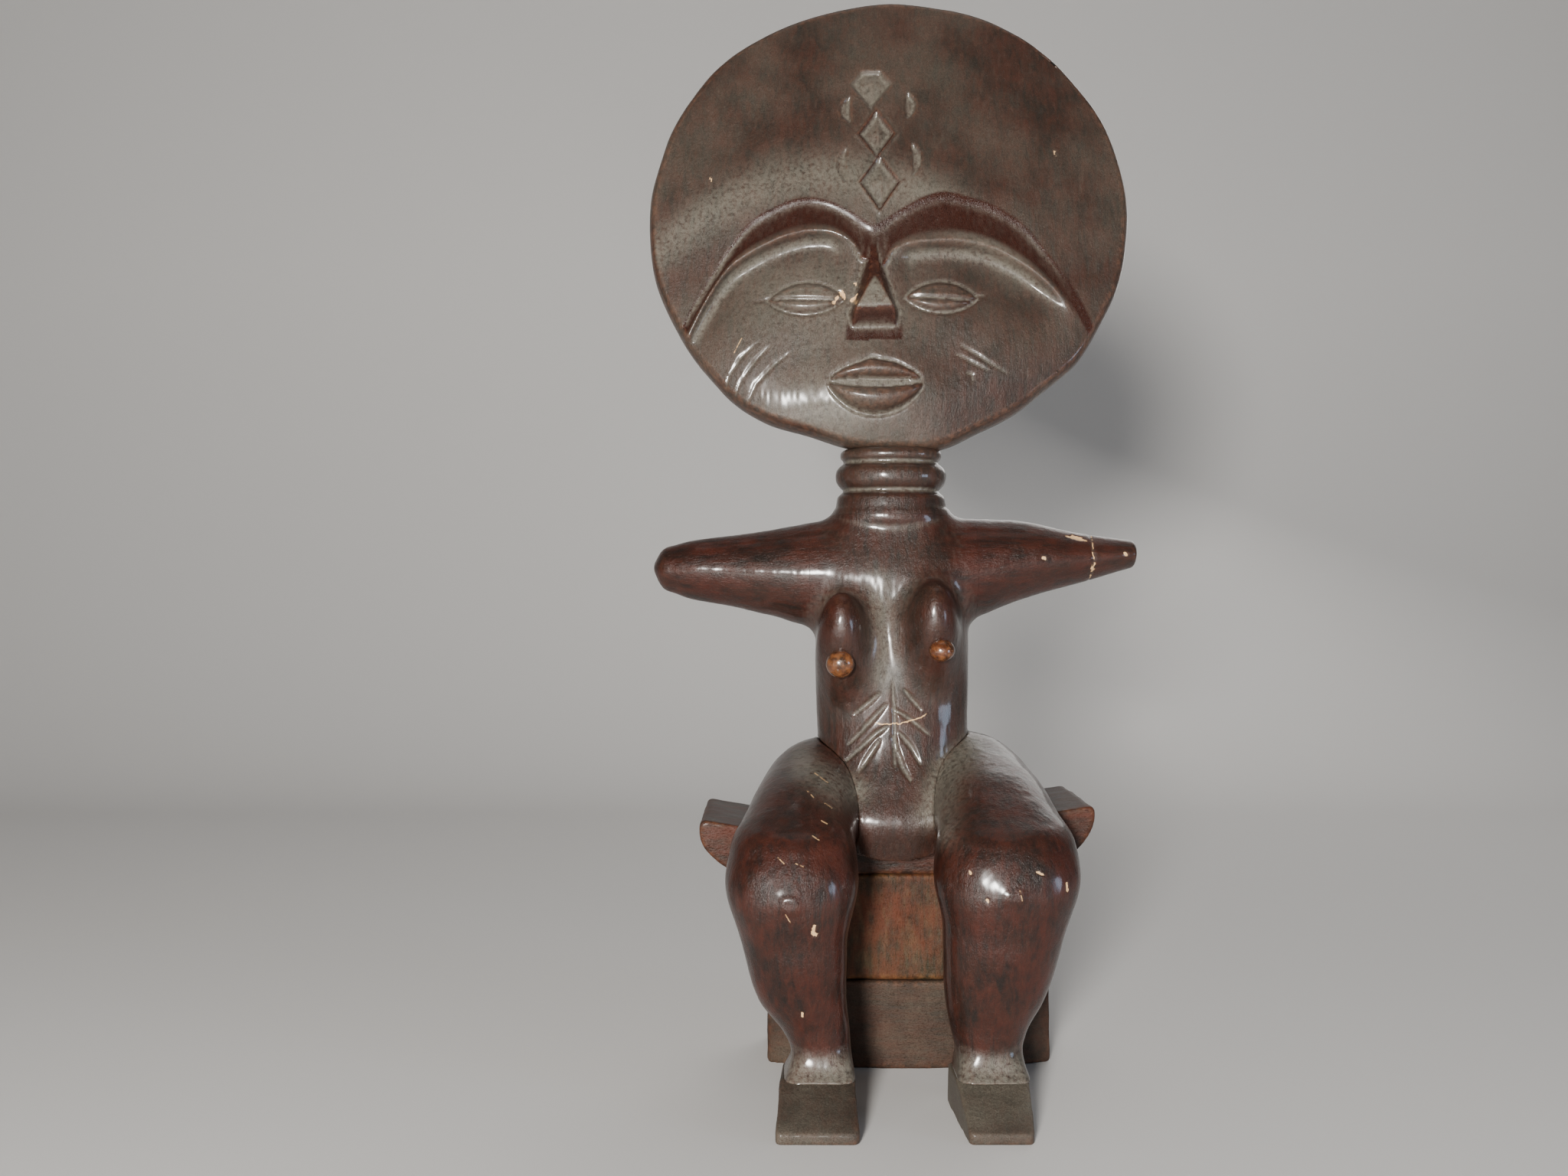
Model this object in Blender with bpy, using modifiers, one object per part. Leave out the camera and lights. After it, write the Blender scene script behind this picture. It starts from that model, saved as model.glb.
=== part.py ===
"""Seated fertility doll on a small curved-seat stool, carved in dark wood.

Metres, +Z up. The figure faces -Y and +X is on the viewer's right, so the figure's own left side is at +X.
The shapes are laid out round the axis of the torso; at the end the whole model is moved so that its origin
is the middle of its bounding box in X and Y, on the ground.
"""

import math

import bmesh
import bpy
from mathutils import Matrix, Vector

MM = 0.001

# --- driving dimensions, mm unless they are angles ------------------------------------------------
GAP = 0.3                        # glue line between neighbouring pieces

HEAD_CENTRE = (0.0, 8.5, 263.1)
HEAD_HALF_WIDTH = 75.5
HEAD_HALF_HEIGHT = 74.6
HEAD_TILT = 10.0                 # degrees, leaning back
HEAD_FRONT = 12.0                # dome heights above the disc's middle plane
HEAD_BACK = 9.0
HEAD_RIM = 4.5                   # half thickness at the rim
FACE_X, FACE_Y = -5.8, 1.8       # the face is carved a little off the disc's middle

NECK_TOP = 191.0
NECK_BOTTOM = 170.3
NECK_DEPTH_RATIO = 0.82
NECK_TENON = (3.4, 12.0)         # radius, length: up into the head
BODY_TENON = (6.0, 15.0)         # down into the torso

SHOULDER_X = 25.7                # arms join the shoulders at this distance from the axis
ARM_TENON = (5.0, 11.0)
ARM_TIP_JOINT = 61.5             # mended break in the left arm

PEG_RADIUS = 4.3
PEG_SHANK = (1.9, 7.0)

HIP_TENON = (4.0, 9.0)
ANKLE_Z = 11.8
ANKLE_TENON = (3.0, 6.0)

SEAT_HALF_WIDTH = 57.5
SEAT_FRONT, SEAT_BACK = -25.0, 23.0
SEAT_MIDDLE_TOP = 66.4
SEAT_MIDDLE_BOTTOM = 60.0
SEAT_LEFT_TIP, SEAT_RIGHT_TIP = 83.6, 79.4
SEAT_HOLLOW = 44.0               # half width of the hollow that holds the thighs
SEAT_NOTCH = (19.0, -8.0)        # half width of the cut-out in the front edge, and how far back it goes

COLUMN_X = (-24.0, 27.0)
COLUMN_Y = (-6.0, 19.0)
COLUMN_TENON = (6.0, 18.0, 8.0)  # radius, length up, length down

BASE_X = (-38.5, 49.5)
BASE_Y = (-7.0, 28.0)
BASE_BOW = 7.0                   # how far the base's front bows out in the middle
BASE_HEIGHT = 27.0

WOOD = (0.032, 0.014, 0.009, 1.0)
STUD = (0.16, 0.052, 0.016, 1.0)

# X, Z middle, half width, front Y, back Y of the torso at heights from the crotch to the neck
TORSO = (
    (62.0, 0.0, 14.0, -25.0, 12.0),
    (68.0, 0.0, 14.6, -25.4, 16.0),
    (78.0, 0.0, 16.0, -25.0, 20.0),
    (88.0, 0.3, 18.8, -22.5, 20.5),
    (98.0, 0.3, 22.6, -19.5, 17.5),
    (110.0, 0.0, 23.4, -18.5, 14.0),
    (124.0, 0.0, 23.4, -18.5, 13.0),
    (138.0, 0.0, 23.6, -17.5, 14.0),
    (150.0, 0.0, 23.2, -15.0, 14.5),
    (160.0, 0.0, 21.0, -13.5, 13.5),
    (168.0, 0.0, 18.6, -13.0, 14.0),
    (171.5, 0.0, 17.4, -12.6, 13.6),
)

# X, Z bottom, Z top, half depth of the shoulders and arms, from the right arm's tip to the left arm's tip
ARMS = (
    (-73.4, 150.8, 157.2, 3.6),
    (-71.5, 148.0, 159.6, 5.4),
    (-67.0, 145.9, 161.4, 7.0),
    (-51.0, 142.4, 164.2, 9.6),
    (-38.0, 139.4, 165.8, 11.6),
    (-25.0, 135.8, 168.2, 13.4),
    (-12.0, 134.0, 169.4, 14.6),
    (0.0, 133.5, 169.4, 15.0),
    (12.0, 134.5, 169.6, 14.6),
    (25.0, 138.0, 169.6, 13.4),
    (40.0, 143.8, 168.8, 11.6),
    (56.0, 148.6, 165.4, 9.0),
    (70.0, 152.8, 163.4, 6.2),
    (75.6, 154.4, 162.6, 5.0),
)

# Centre X, Y, Z, lean of the section (0 upright, 90 level), half width, half thickness: hip, knee, ankle
RIGHT_LEG = (
    (-15.0, 17.0, 82.0, -8.0, 8.0, 9.0),
    (-16.5, 12.0, 83.0, -4.0, 14.0, 15.0),
    (-20.0, 0.0, 84.0, 0.0, 17.0, 17.5),
    (-26.6, -20.0, 80.0, 8.0, 16.0, 16.5),
    (-29.6, -37.0, 74.0, 22.0, 16.6, 15.8),
    (-30.8, -47.5, 66.0, 48.0, 16.6, 15.6),
    (-31.2, -51.0, 56.0, 76.0, 15.8, 13.6),
    (-30.4, -50.5, 46.0, 88.0, 14.6, 12.2),
    (-27.9, -48.5, 32.0, 90.0, 12.0, 10.2),
    (-23.6, -47.0, 20.0, 90.0, 8.8, 8.8),
    (-23.6, -46.8, ANKLE_Z, 90.0, 9.6, 10.8),
)
LEFT_LEG = (
    (15.0, 17.0, 84.0, -8.0, 8.0, 9.0),
    (16.5, 12.0, 85.0, -4.0, 14.0, 15.0),
    (20.5, 0.0, 86.0, 0.0, 17.4, 17.5),
    (27.2, -20.0, 82.0, 8.0, 16.6, 16.5),
    (28.8, -37.0, 76.0, 22.0, 18.0, 15.8),
    (28.8, -47.5, 67.5, 48.0, 18.4, 15.6),
    (28.2, -51.0, 57.0, 76.0, 17.6, 13.6),
    (27.0, -50.5, 47.0, 88.0, 16.2, 12.2),
    (25.2, -48.5, 33.0, 90.0, 13.6, 10.2),
    (23.8, -47.0, 20.0, 90.0, 9.8, 8.8),
    (24.6, -46.8, ANKLE_Z, 90.0, 10.2, 10.8),
)

# X range of the two feet at the heel; Y and top height along them, heel to toe
FOOT_HEEL_X = {"right_foot": (-33.6, -13.6), "left_foot": (13.6, 36.0)}
FOOT_TOE_X = {"right_foot": (-35.9, -13.4), "left_foot": (15.6, 33.4)}
FOOT_PROFILE = ((-35.5, 10.4), (-40.0, 11.5), (-55.5, 11.5), (-64.0, 6.6), (-71.5, 3.0))


# --- helpers ------------------------------------------------------------------------------------------------
def clear_scene():
    for item in list(bpy.data.objects):
        bpy.data.objects.remove(item, do_unlink=True)


def collection(name):
    made = bpy.data.collections.new(name)
    bpy.context.scene.collection.children.link(made)
    return made


def add_mesh(name, verts, faces, into):
    """An object from vertices in mm."""
    mesh = bpy.data.meshes.new(name)
    mesh.from_pydata([Vector(v) * MM for v in verts], [], faces)
    made = bpy.data.objects.new(name, mesh)
    into.objects.link(made)
    return made


def bake(item):
    """Replace an object's mesh by its evaluated one, in world space."""
    bpy.context.view_layer.update()
    seen = item.evaluated_get(bpy.context.evaluated_depsgraph_get())
    mesh = bpy.data.meshes.new_from_object(seen)
    mesh.transform(item.matrix_world)
    item.modifiers.clear()
    item.data = mesh
    item.matrix_world = Matrix.Identity(4)
    bm = bmesh.new()
    bm.from_mesh(mesh)
    bmesh.ops.remove_doubles(bm, verts=bm.verts, dist=0.000002)
    bmesh.ops.dissolve_degenerate(bm, edges=bm.edges, dist=0.000002)
    bm.to_mesh(mesh)
    bm.free()
    return item


def combine(item, others, operation):
    """Boolean of an object with helper objects, which stay behind as hidden cutters."""
    for other in others:
        step = item.modifiers.new(other.name, "BOOLEAN")
        step.operation = operation
        step.solver = "EXACT"
        step.object = other
    return bake(item)


def superellipse(a, b, count, power):
    """Points of a rounded outline; power 2 is an ellipse, higher is boxier, lower is a diamond."""
    points = []
    for i in range(count):
        angle = 2 * math.pi * (i + 0.5) / count
        c, s = math.cos(angle), math.sin(angle)
        points.append((a * math.copysign(abs(c) ** (2 / power), c),
                       b * math.copysign(abs(s) ** (2 / power), s)))
    return points


def loft(name, rings, into):
    """Closed skin through rings with equal counts of points, with flat ends."""
    count = len(rings[0])
    verts = [p for ring in rings for p in ring]
    faces = []
    for k in range(len(rings) - 1):
        for i in range(count):
            j = (i + 1) % count
            faces.append((k * count + i, k * count + j, (k + 1) * count + j, (k + 1) * count + i))
    faces.append(tuple(reversed(range(count))))
    faces.append(tuple(range((len(rings) - 1) * count, len(rings) * count)))
    made = add_mesh(name, verts, faces, into)
    bm = bmesh.new()
    bm.from_mesh(made.data)
    bmesh.ops.recalc_face_normals(bm, faces=bm.faces)
    bm.to_mesh(made.data)
    bm.free()
    return made


def smooth_rows(rows, steps):
    """Catmull-Rom rows between the given ones, so that a few sections make an even form."""
    padded = [rows[0]] + list(rows) + [rows[-1]]
    out = []
    for k in range(1, len(padded) - 2):
        p0, p1, p2, p3 = padded[k - 1:k + 3]
        for i in range(steps):
            t = i / steps
            out.append(tuple(
                0.5 * (2 * b + (c - a) * t + (2 * a - 5 * b + 4 * c - d) * t * t
                       + (3 * b - a - 3 * c + d) * t ** 3)
                for a, b, c, d in zip(p0, p1, p2, p3)))
    out.append(tuple(rows[-1]))
    return out


def cylinder(name, start, end, radius, into, sides=24):
    """A round pin between two points in mm."""
    a, b = Vector(start) * MM, Vector(end) * MM
    bpy.ops.mesh.primitive_cylinder_add(vertices=sides, radius=radius * MM, depth=(b - a).length)
    made = bpy.context.object
    made.name = name
    made.matrix_world = (Matrix.Translation((a + b) / 2)
                         @ (b - a).to_track_quat("Z", "Y").to_matrix().to_4x4())
    return move_to(made, into)


def box(name, low, high, into):
    bpy.ops.mesh.primitive_cube_add(size=1)
    made = bpy.context.object
    made.name = name
    size = [(h - l) * MM for l, h in zip(low, high)]
    middle = [(h + l) / 2 * MM for l, h in zip(low, high)]
    made.data.transform(Matrix.Translation(middle) @ Matrix.Diagonal((*size, 1)))
    return move_to(made, into)


def ball(name, centre, radii, into, turn=Matrix.Identity(4), segments=24, rings=12):
    """An ellipsoid in mm, turned about its own centre."""
    bpy.ops.mesh.primitive_uv_sphere_add(segments=segments, ring_count=rings, radius=1)
    made = bpy.context.object
    made.name = name
    size = [r * MM for r in radii]
    made.data.transform(Matrix.Translation(Vector(centre) * MM) @ turn @ Matrix.Diagonal((*size, 1)))
    return move_to(made, into)


def move_to(item, into):
    for owner in list(item.users_collection):
        owner.objects.unlink(item)
    into.objects.link(item)
    return item


def turned(name, profile, into, steps=48):
    """A profile of (radius, height) from top to bottom, turned about Z."""
    made = add_mesh(name, [(r, 0, z) for r, z in profile], [], into)
    bm = bmesh.new()
    bm.from_mesh(made.data)
    bm.verts.ensure_lookup_table()
    for i in range(len(profile) - 1):
        bm.edges.new((bm.verts[i], bm.verts[i + 1]))
    bm.to_mesh(made.data)
    bm.free()
    screw = made.modifiers.new("turn", "SCREW")
    screw.steps = steps
    screw.render_steps = steps
    screw.use_merge_vertices = True
    screw.merge_threshold = 0.00001
    return bake(made)


def extruded(name, outline, depth, bevel, into):
    """A filled 2D curve (X, Y in mm) extruded by half its depth both ways, with rounded edges."""
    curve = bpy.data.curves.new(name, "CURVE")
    curve.dimensions = "2D"
    curve.fill_mode = "BOTH"
    curve.extrude = depth / 2 * MM
    line = curve.splines.new("POLY")
    line.points.add(len(outline) - 1)
    for point, (x, y) in zip(line.points, outline):
        point.co = (x * MM, y * MM, 0, 1)
    line.use_cyclic_u = True
    flat = bpy.data.objects.new(name, curve)
    into.objects.link(flat)
    bpy.context.view_layer.update()
    mesh = bpy.data.meshes.new_from_object(flat.evaluated_get(bpy.context.evaluated_depsgraph_get()))
    bm = bmesh.new()
    bm.from_mesh(mesh)
    bmesh.ops.remove_doubles(bm, verts=bm.verts, dist=0.00001)
    bmesh.ops.recalc_face_normals(bm, faces=bm.faces)
    bm.to_mesh(mesh)
    bm.free()
    bpy.data.objects.remove(flat)
    made = bpy.data.objects.new(name, mesh)
    into.objects.link(made)
    if bevel:
        rounding = made.modifiers.new("rounding", "BEVEL")
        rounding.width = bevel * MM
        rounding.segments = 2
        rounding.limit_method = "ANGLE"
        rounding.angle_limit = math.radians(40)
    return made


# --- the head -----------------------------------------------------------------------------------------------
def head_matrix():
    """Disc frame: X to the right, Y up the face, Z out of the face."""
    stand = Matrix.Rotation(math.radians(90 - HEAD_TILT), 4, "X")
    return Matrix.Translation(Vector(HEAD_CENTRE) * MM) @ stand


def dome(r, height):
    """Height of the disc's surface at a share r of its radius."""
    return HEAD_RIM + (height - HEAD_RIM) * (1 - r * r)


def disc(name, grow, into):
    """The lens-shaped disc; grow adds to it all round."""
    shares = (0.0, 0.2, 0.4, 0.58, 0.73, 0.85, 0.94)
    rim = ((0.985, 0.72), (1.0, 0.2), (1.0, -0.2), (0.985, -0.72))
    profile = [(r, dome(r, HEAD_FRONT) + grow) for r in shares]
    profile += [(r + grow / HEAD_HALF_WIDTH, h * (HEAD_RIM + grow)) for r, h in rim]
    profile += [(r, -dome(r, HEAD_BACK) - grow) for r in reversed(shares)]
    made = turned(name, [(r * 1000, h) for r, h in profile], into, steps=72)
    made.data.transform(Matrix.Diagonal((HEAD_HALF_WIDTH / 1000, HEAD_HALF_HEIGHT / 1000, 1, 1)))
    made.data.transform(head_matrix())
    return made


def brow_arc(side, lift, reach):
    """Points of a brow line from the bridge of the nose out to the cheek, in the disc's frame."""
    arch = ((2.0, -14.0), (4.0, -7.0), (12.0, -2.0), (22.0, 0.8), (33.0, -1.6), (43.0, -8.0), (51.0, -17.5),
            (58.0, -30.0), (62.0, -41.0))
    return [(FACE_X + side * (2.0 + (x - 2.0) * reach), FACE_Y + y - lift) for x, y in arch]


def socket_cutter(name, side, lift, reach, depth, lean, into):
    """A prism under a brow: deepest along the brow, running out on the cheek."""
    arc = brow_arc(side, lift, reach)
    low = [(FACE_X + side * x, FACE_Y + y) for x, y in ((50.0, -58.0), (24.0, -66.0), (9.0, -52.0))]
    outline = arc + low
    if side > 0:
        outline = list(reversed(outline))
    made = extruded(name, [(x, y + 20) for x, y in outline], 30, 0, into)
    floor = dome(0.35, HEAD_FRONT) - depth
    made.data.transform(Matrix.Translation((0, 0, 15 * MM)))
    made.data.transform(Matrix.Rotation(math.radians(lean), 4, "X"))
    made.data.transform(Matrix.Translation((0, -20 * MM, floor * MM)))
    made.data.transform(head_matrix())
    return made


def scar_cutter(name, x, y, half_width, half_height, into):
    """A shallow four-sided pyramid that cuts a lozenge into the forehead."""
    bpy.ops.mesh.primitive_cone_add(vertices=4, radius1=0, radius2=1, depth=1)
    made = bpy.context.object
    made.name = name
    surface = dome(math.hypot(x / HEAD_HALF_WIDTH, y / HEAD_HALF_HEIGHT), HEAD_FRONT)
    size = Matrix.Diagonal((half_width * 1.8 * MM, half_height * 1.8 * MM, 1.8 * MM, 1))
    made.data.transform(Matrix.Translation((x * MM, y * MM, (surface - 0.1) * MM)) @ size)
    made.data.transform(head_matrix())
    return move_to(made, into)


def nose(into):
    """Wedge from the bridge to a flat underside."""
    rows = ((-7.5, 1.0, 10.5, 11.6), (-20.0, 3.8, 6.0, 13.6), (-28.0, 5.6, 5.0, 15.6),
            (-35.6, 8.4, 5.0, 17.0), (-38.0, 8.8, 5.0, 16.4), (-41.4, 9.0, 5.0, 10.5))
    rings = []
    for down, half, low, top in rows:
        y = FACE_Y + down
        ridge = half * 0.42
        shoulder = low + (top - low) * 0.3
        rings.append([(FACE_X - half, y, low), (FACE_X + half, y, low), (FACE_X + half, y, shoulder),
                      (FACE_X + ridge, y, top), (FACE_X - ridge, y, top), (FACE_X - half, y, shoulder)])
    made = loft("nose_wedge", rings, into)
    made.data.transform(head_matrix())
    return made


def build_head(parts, cutters):
    head = disc("head_disc", 0.0, parts)
    cuts = []
    for side, word in ((-1, "right"), (1, "left")):
        cuts.append(socket_cutter(word + "_brow_cut", side, 0.0, 1.0, 3.4, 5.0, cutters))
        cuts.append(socket_cutter(word + "_lid_cut", side, 12.0, 0.94, 4.9, 6.0, cutters))
    combine(head, cuts, "DIFFERENCE")
    frame = head_matrix()
    adds = [nose(cutters)]
    for side, word in ((-1, "right"), (1, "left")):
        place = (FACE_X + side * 20.4, FACE_Y - 30.0, 6.6)
        adds.append(ball(word + "_eye", place, (12.3, 5.2, 2.8), cutters))
    adds.append(ball("upper_lip", (FACE_X + 0.4, FACE_Y - 54.6, 7.6), (14.6, 4.0, 3.4), cutters))
    adds.append(ball("lower_lip", (FACE_X + 0.4, FACE_Y - 61.4, 7.2), (11.8, 4.8, 3.6), cutters))
    for item in adds[1:]:
        item.data.transform(frame)
    combine(head, adds, "UNION")
    slits = []
    for side, word in ((-1, "right"), (1, "left")):
        slits.append(ball(word + "_eye_slit", (FACE_X + side * 20.4, FACE_Y - 30.6, 9.8), (10.0, 0.7, 1.2),
                          cutters, segments=16, rings=8))
    slits.append(ball("mouth_slit", (FACE_X + 0.4, FACE_Y - 57.4, 10.4), (12.0, 1.0, 1.8),
                      cutters, segments=16, rings=8))
    for item in slits:
        item.data.transform(frame)
    for word, x, y, a, b in (("top", -5.8, 39.0, 6.2, 6.6), ("middle", -4.5, 23.4, 5.3, 7.8),
                             ("low", -3.8, 6.5, 6.0, 9.0)):
        slits.append(scar_cutter(word + "_scar", x, FACE_Y + y, a, b, cutters))
    for side in (-1, 1):
        for word, y, b in (("upper", 32.0, 4.8), ("lower", 12.5, 6.4)):
            name = f"{word}_side_scar_{side + 2}"
            slits.append(scar_cutter(name, -4.4 + side * 9.6, FACE_Y + y, 2.0, b, cutters))
    return combine(head, slits, "DIFFERENCE")


# --- the body -----------------------------------------------------------------------------------------------
def torso_body(name, grow, into):
    rings = []
    for z, x, a, front, back in smooth_rows(TORSO, 2):
        middle, half = (front + back) / 2, (back - front) / 2
        squareness = 2.35 + 2.6 * min(max((96.0 - z) / 20.0, 0.0), 1.0)
        outline = superellipse(a + grow, half + grow, 32, squareness)
        rings.append([(x + px, middle + py, z) for px, py in outline])
    return loft(name, rings, into)


def arm_rows(low, high):
    """The spindle's sections between two X positions, ends included."""
    rows = smooth_rows(ARMS, 2)

    def at(x):
        for a, b in zip(rows, rows[1:]):
            if a[0] <= x <= b[0]:
                t = (x - a[0]) / (b[0] - a[0])
                return tuple(u + (v - u) * t for u, v in zip(a, b))
        return rows[0] if x < rows[0][0] else rows[-1]

    return [at(low)] + [r for r in rows if low + 1.0 < r[0] < high - 1.0] + [at(high)]


def arm_body(name, low, high, into):
    """Part of the spindle through both arms, slightly ridged along its front."""
    rings = []
    for x, bottom, top, depth in arm_rows(low, high):
        outline = superellipse(depth, (top - bottom) / 2, 24, 1.85)
        rings.append([(x, py, (top + bottom) / 2 + pz) for py, pz in outline])
    return loft(name, rings, into)


def arm_height(x):
    row = arm_rows(x, x + 3.0)[0]
    return (row[1] + row[2]) / 2


def build_torso(parts, cutters):
    torso = torso_body("torso", 0.0, parts)
    adds = [arm_body("shoulders", -SHOULDER_X + GAP / 2, SHOULDER_X - GAP / 2, cutters)]
    lean = Matrix.Rotation(math.radians(-34), 4, "X")
    adds.append(ball("right_breast", (-16.2, -16.4, 135.0), (8.4, 10.2, 15.0), cutters, lean))
    adds.append(ball("left_breast", (11.4, -16.8, 138.0), (7.8, 10.2, 14.0), cutters, lean))
    return combine(torso, adds, "UNION")


def peg_frame(place):
    """Axis of a breast stud: out of the breast, forward and a little down."""
    return Matrix.Translation(Vector(place) * MM) @ Matrix.Rotation(math.radians(108), 4, "X")


def build_peg(name, place, parts):
    cap = [math.radians(15 * i) for i in range(7)]
    dome_rows = [(PEG_RADIUS * math.sin(a), 3.6 * math.cos(a)) for a in cap]
    shank = PEG_SHANK[0]
    profile = dome_rows + [(PEG_RADIUS, -0.6), (shank, -0.6), (shank, -PEG_SHANK[1]), (0.0, -PEG_SHANK[1])]
    peg = turned(name, profile, parts, steps=20)
    peg.data.transform(peg_frame(place))
    return peg


def peg_socket(name, place, cutters):
    """A flat seat and a blind hole for a breast stud."""
    seat, hole = PEG_RADIUS + GAP, PEG_SHANK[0] + GAP
    profile = [(0.0, 8.0), (seat, 8.0), (seat, -0.6 - GAP), (hole, -0.6 - GAP), (hole, -PEG_SHANK[1] - GAP),
               (0.0, -PEG_SHANK[1] - GAP)]
    cutter = turned(name, profile, cutters, steps=20)
    cutter.data.transform(peg_frame(place))
    return cutter


def leg_body(name, rows, into):
    rings = []
    for x, y, z, lean, a, b in smooth_rows(rows, 2):
        angle = math.radians(lean)
        out = Vector((0, -math.sin(angle), math.cos(angle)))
        ring = []
        for px, pz in superellipse(a, b, 24, 2.2):
            ring.append(Vector((x + px, y, z)) + out * pz)
        rings.append(ring)
    return loft(name, rings, into)


def build_foot(name, parts):
    left, right = FOOT_HEEL_X[name]
    outline = [(y, z) for y, z in FOOT_PROFILE] + [(-71.5, 0.0), (-35.5, 0.0)]
    foot = extruded(name, list(reversed(outline)), right - left, 1.6, parts)
    turn = Matrix(((0, 0, 1, 0), (1, 0, 0, 0), (0, 1, 0, 0), (0, 0, 0, 1)))
    foot.data.transform(Matrix.Translation(((left + right) / 2 * MM, 0, 0)) @ turn)
    bake(foot)
    heel, toe = FOOT_PROFILE[0][0] * MM, FOOT_PROFILE[-1][0] * MM
    toe_left, toe_right = FOOT_TOE_X[name]
    for vertex in foot.data.vertices:
        share = (vertex.co.y - heel) / (toe - heel)
        across = (vertex.co.x / MM - left) / (right - left)
        at_left = left + (toe_left - left) * share
        at_right = right + (toe_right - right) * share
        vertex.co.x = (at_left + (at_right - at_left) * across) * MM
    return foot


# --- the stool ----------------------------------------------------------------------------------------------
def seat_top(x, tip):
    """Height of the seat: a hollow in the middle, then ends that rise a little to their tips."""
    share = min(abs(x) / SEAT_HOLLOW, 1.0)
    rise = (1 - math.cos(math.pi * share)) / 2
    end_slope = 0.16 * (SEAT_HALF_WIDTH - abs(x))
    return SEAT_MIDDLE_TOP + (tip - end_slope * rise - SEAT_MIDDLE_TOP) * rise


def seat_outline(grow):
    """Across the seat: a hollow between two raised, nearly level ends, and a flat underside."""
    points = []
    count = 24
    for i in range(count + 1):
        x = -SEAT_HALF_WIDTH + 2 * SEAT_HALF_WIDTH * i / count
        tip = SEAT_LEFT_TIP if x > 0 else SEAT_RIGHT_TIP
        points.append((x, seat_top(x, tip) + grow))
    for side, tip in ((1, SEAT_LEFT_TIP), (-1, SEAT_RIGHT_TIP)):
        end = [(side * (SEAT_HALF_WIDTH + 1.2 + grow), tip - 4.0),
               (side * (SEAT_HALF_WIDTH - 0.6), tip - 8.5),
               (side * (SEAT_HALF_WIDTH - 7.5), SEAT_MIDDLE_BOTTOM + 5.2 - grow),
               (side * (SEAT_HALF_WIDTH - 18.0), SEAT_MIDDLE_BOTTOM + 0.8 - grow),
               (side * (SEAT_HALF_WIDTH - 30.0), SEAT_MIDDLE_BOTTOM - grow)]
        points += end if side > 0 else list(reversed(end))
    return list(reversed(points))


def seat_body(name, grow, bevel, into):
    deep = SEAT_BACK - SEAT_FRONT + 2 * grow
    seat = extruded(name, seat_outline(grow), deep, bevel, into)
    turn = Matrix.Rotation(math.radians(90), 4, "X")
    seat.data.transform(Matrix.Translation((0, (SEAT_FRONT + SEAT_BACK) / 2 * MM, 0)) @ turn)
    return bake(seat)


def build_base(parts):
    """A block whose front bows out in the middle."""
    x0, x1 = BASE_X
    y0, y1 = BASE_Y
    front = []
    count = 12
    for i in range(count + 1):
        t = i / count
        front.append((x0 + (x1 - x0) * t, y0 + BASE_BOW * (2 * t - 1) ** 2))
    base = extruded("stool_base", front + [(x1, y1), (x0, y1)], BASE_HEIGHT, 1.2, parts)
    base.data.transform(Matrix.Translation((0, 0, BASE_HEIGHT / 2 * MM)))
    return bake(base)


def build_column(parts):
    low = (COLUMN_X[0], COLUMN_Y[0], BASE_HEIGHT + GAP)
    high = (COLUMN_X[1], COLUMN_Y[1], SEAT_MIDDLE_BOTTOM - GAP)
    column = box("stool_column", low, high, parts)
    rounding = column.modifiers.new("rounding", "BEVEL")
    rounding.width = 1.5 * MM
    rounding.segments = 2
    return bake(column)


def column_axis():
    return (0.0, (COLUMN_Y[0] + COLUMN_Y[1]) / 2)


# --- assembly -----------------------------------------------------------------------------------------------
def neck_profile():
    """Radii and heights: a thin ring, a swelling ring and a flared collar."""
    rows = [(0.0, NECK_TOP), (13.6, NECK_TOP), (14.8, NECK_TOP - 1.0), (15.4, 188.8), (15.0, 187.6),
            (14.2, 186.9), (14.2, 186.3), (15.6, 185.4), (16.7, 184.0), (17.0, 182.4), (16.6, 180.4),
            (15.2, 178.8), (14.4, 178.0), (15.0, 177.2), (16.2, 176.2), (16.8, 174.6), (17.2, 172.0),
            (17.4, NECK_BOTTOM), (0.0, NECK_BOTTOM)]
    return rows


def tilt_vector():
    angle = math.radians(HEAD_TILT)
    return Vector((0, math.sin(angle), math.cos(angle)))


def build_neck(parts, cutters):
    neck = turned("neck", neck_profile(), parts, steps=48)
    neck.data.transform(Matrix.Diagonal((1, NECK_DEPTH_RATIO, 1, 1)))
    combine(neck, [disc("head_clearance", GAP, cutters)], "DIFFERENCE")
    start = Vector(HEAD_CENTRE) - tilt_vector() * (HEAD_HALF_HEIGHT + 3.0)
    end = start + tilt_vector() * (3.0 + NECK_TENON[1])
    adds = [cylinder("neck_tenon", start, end, NECK_TENON[0], cutters),
            cylinder("body_tenon", (0, 0.5, NECK_BOTTOM + 3.0), (0, 0.5, NECK_BOTTOM - BODY_TENON[1]),
                     BODY_TENON[0], cutters)]
    combine(neck, adds, "UNION")
    collar = [(0.0, NECK_TOP), (18.2, NECK_TOP), (18.2, NECK_BOTTOM - GAP), (0.0, NECK_BOTTOM - GAP)]
    collar_seat = turned("collar_seat", collar, cutters, steps=48)
    collar_seat.data.transform(Matrix.Diagonal((1, NECK_DEPTH_RATIO, 1, 1)))
    head_socket = cylinder("head_socket", start, end + tilt_vector() * GAP, NECK_TENON[0] + GAP, cutters)
    body_socket = cylinder("body_socket", (0, 0.5, NECK_BOTTOM + 3.0),
                           (0, 0.5, NECK_BOTTOM - BODY_TENON[1] - GAP),
                           BODY_TENON[0] + GAP, cutters)
    return head_socket, [collar_seat, body_socket]


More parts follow.
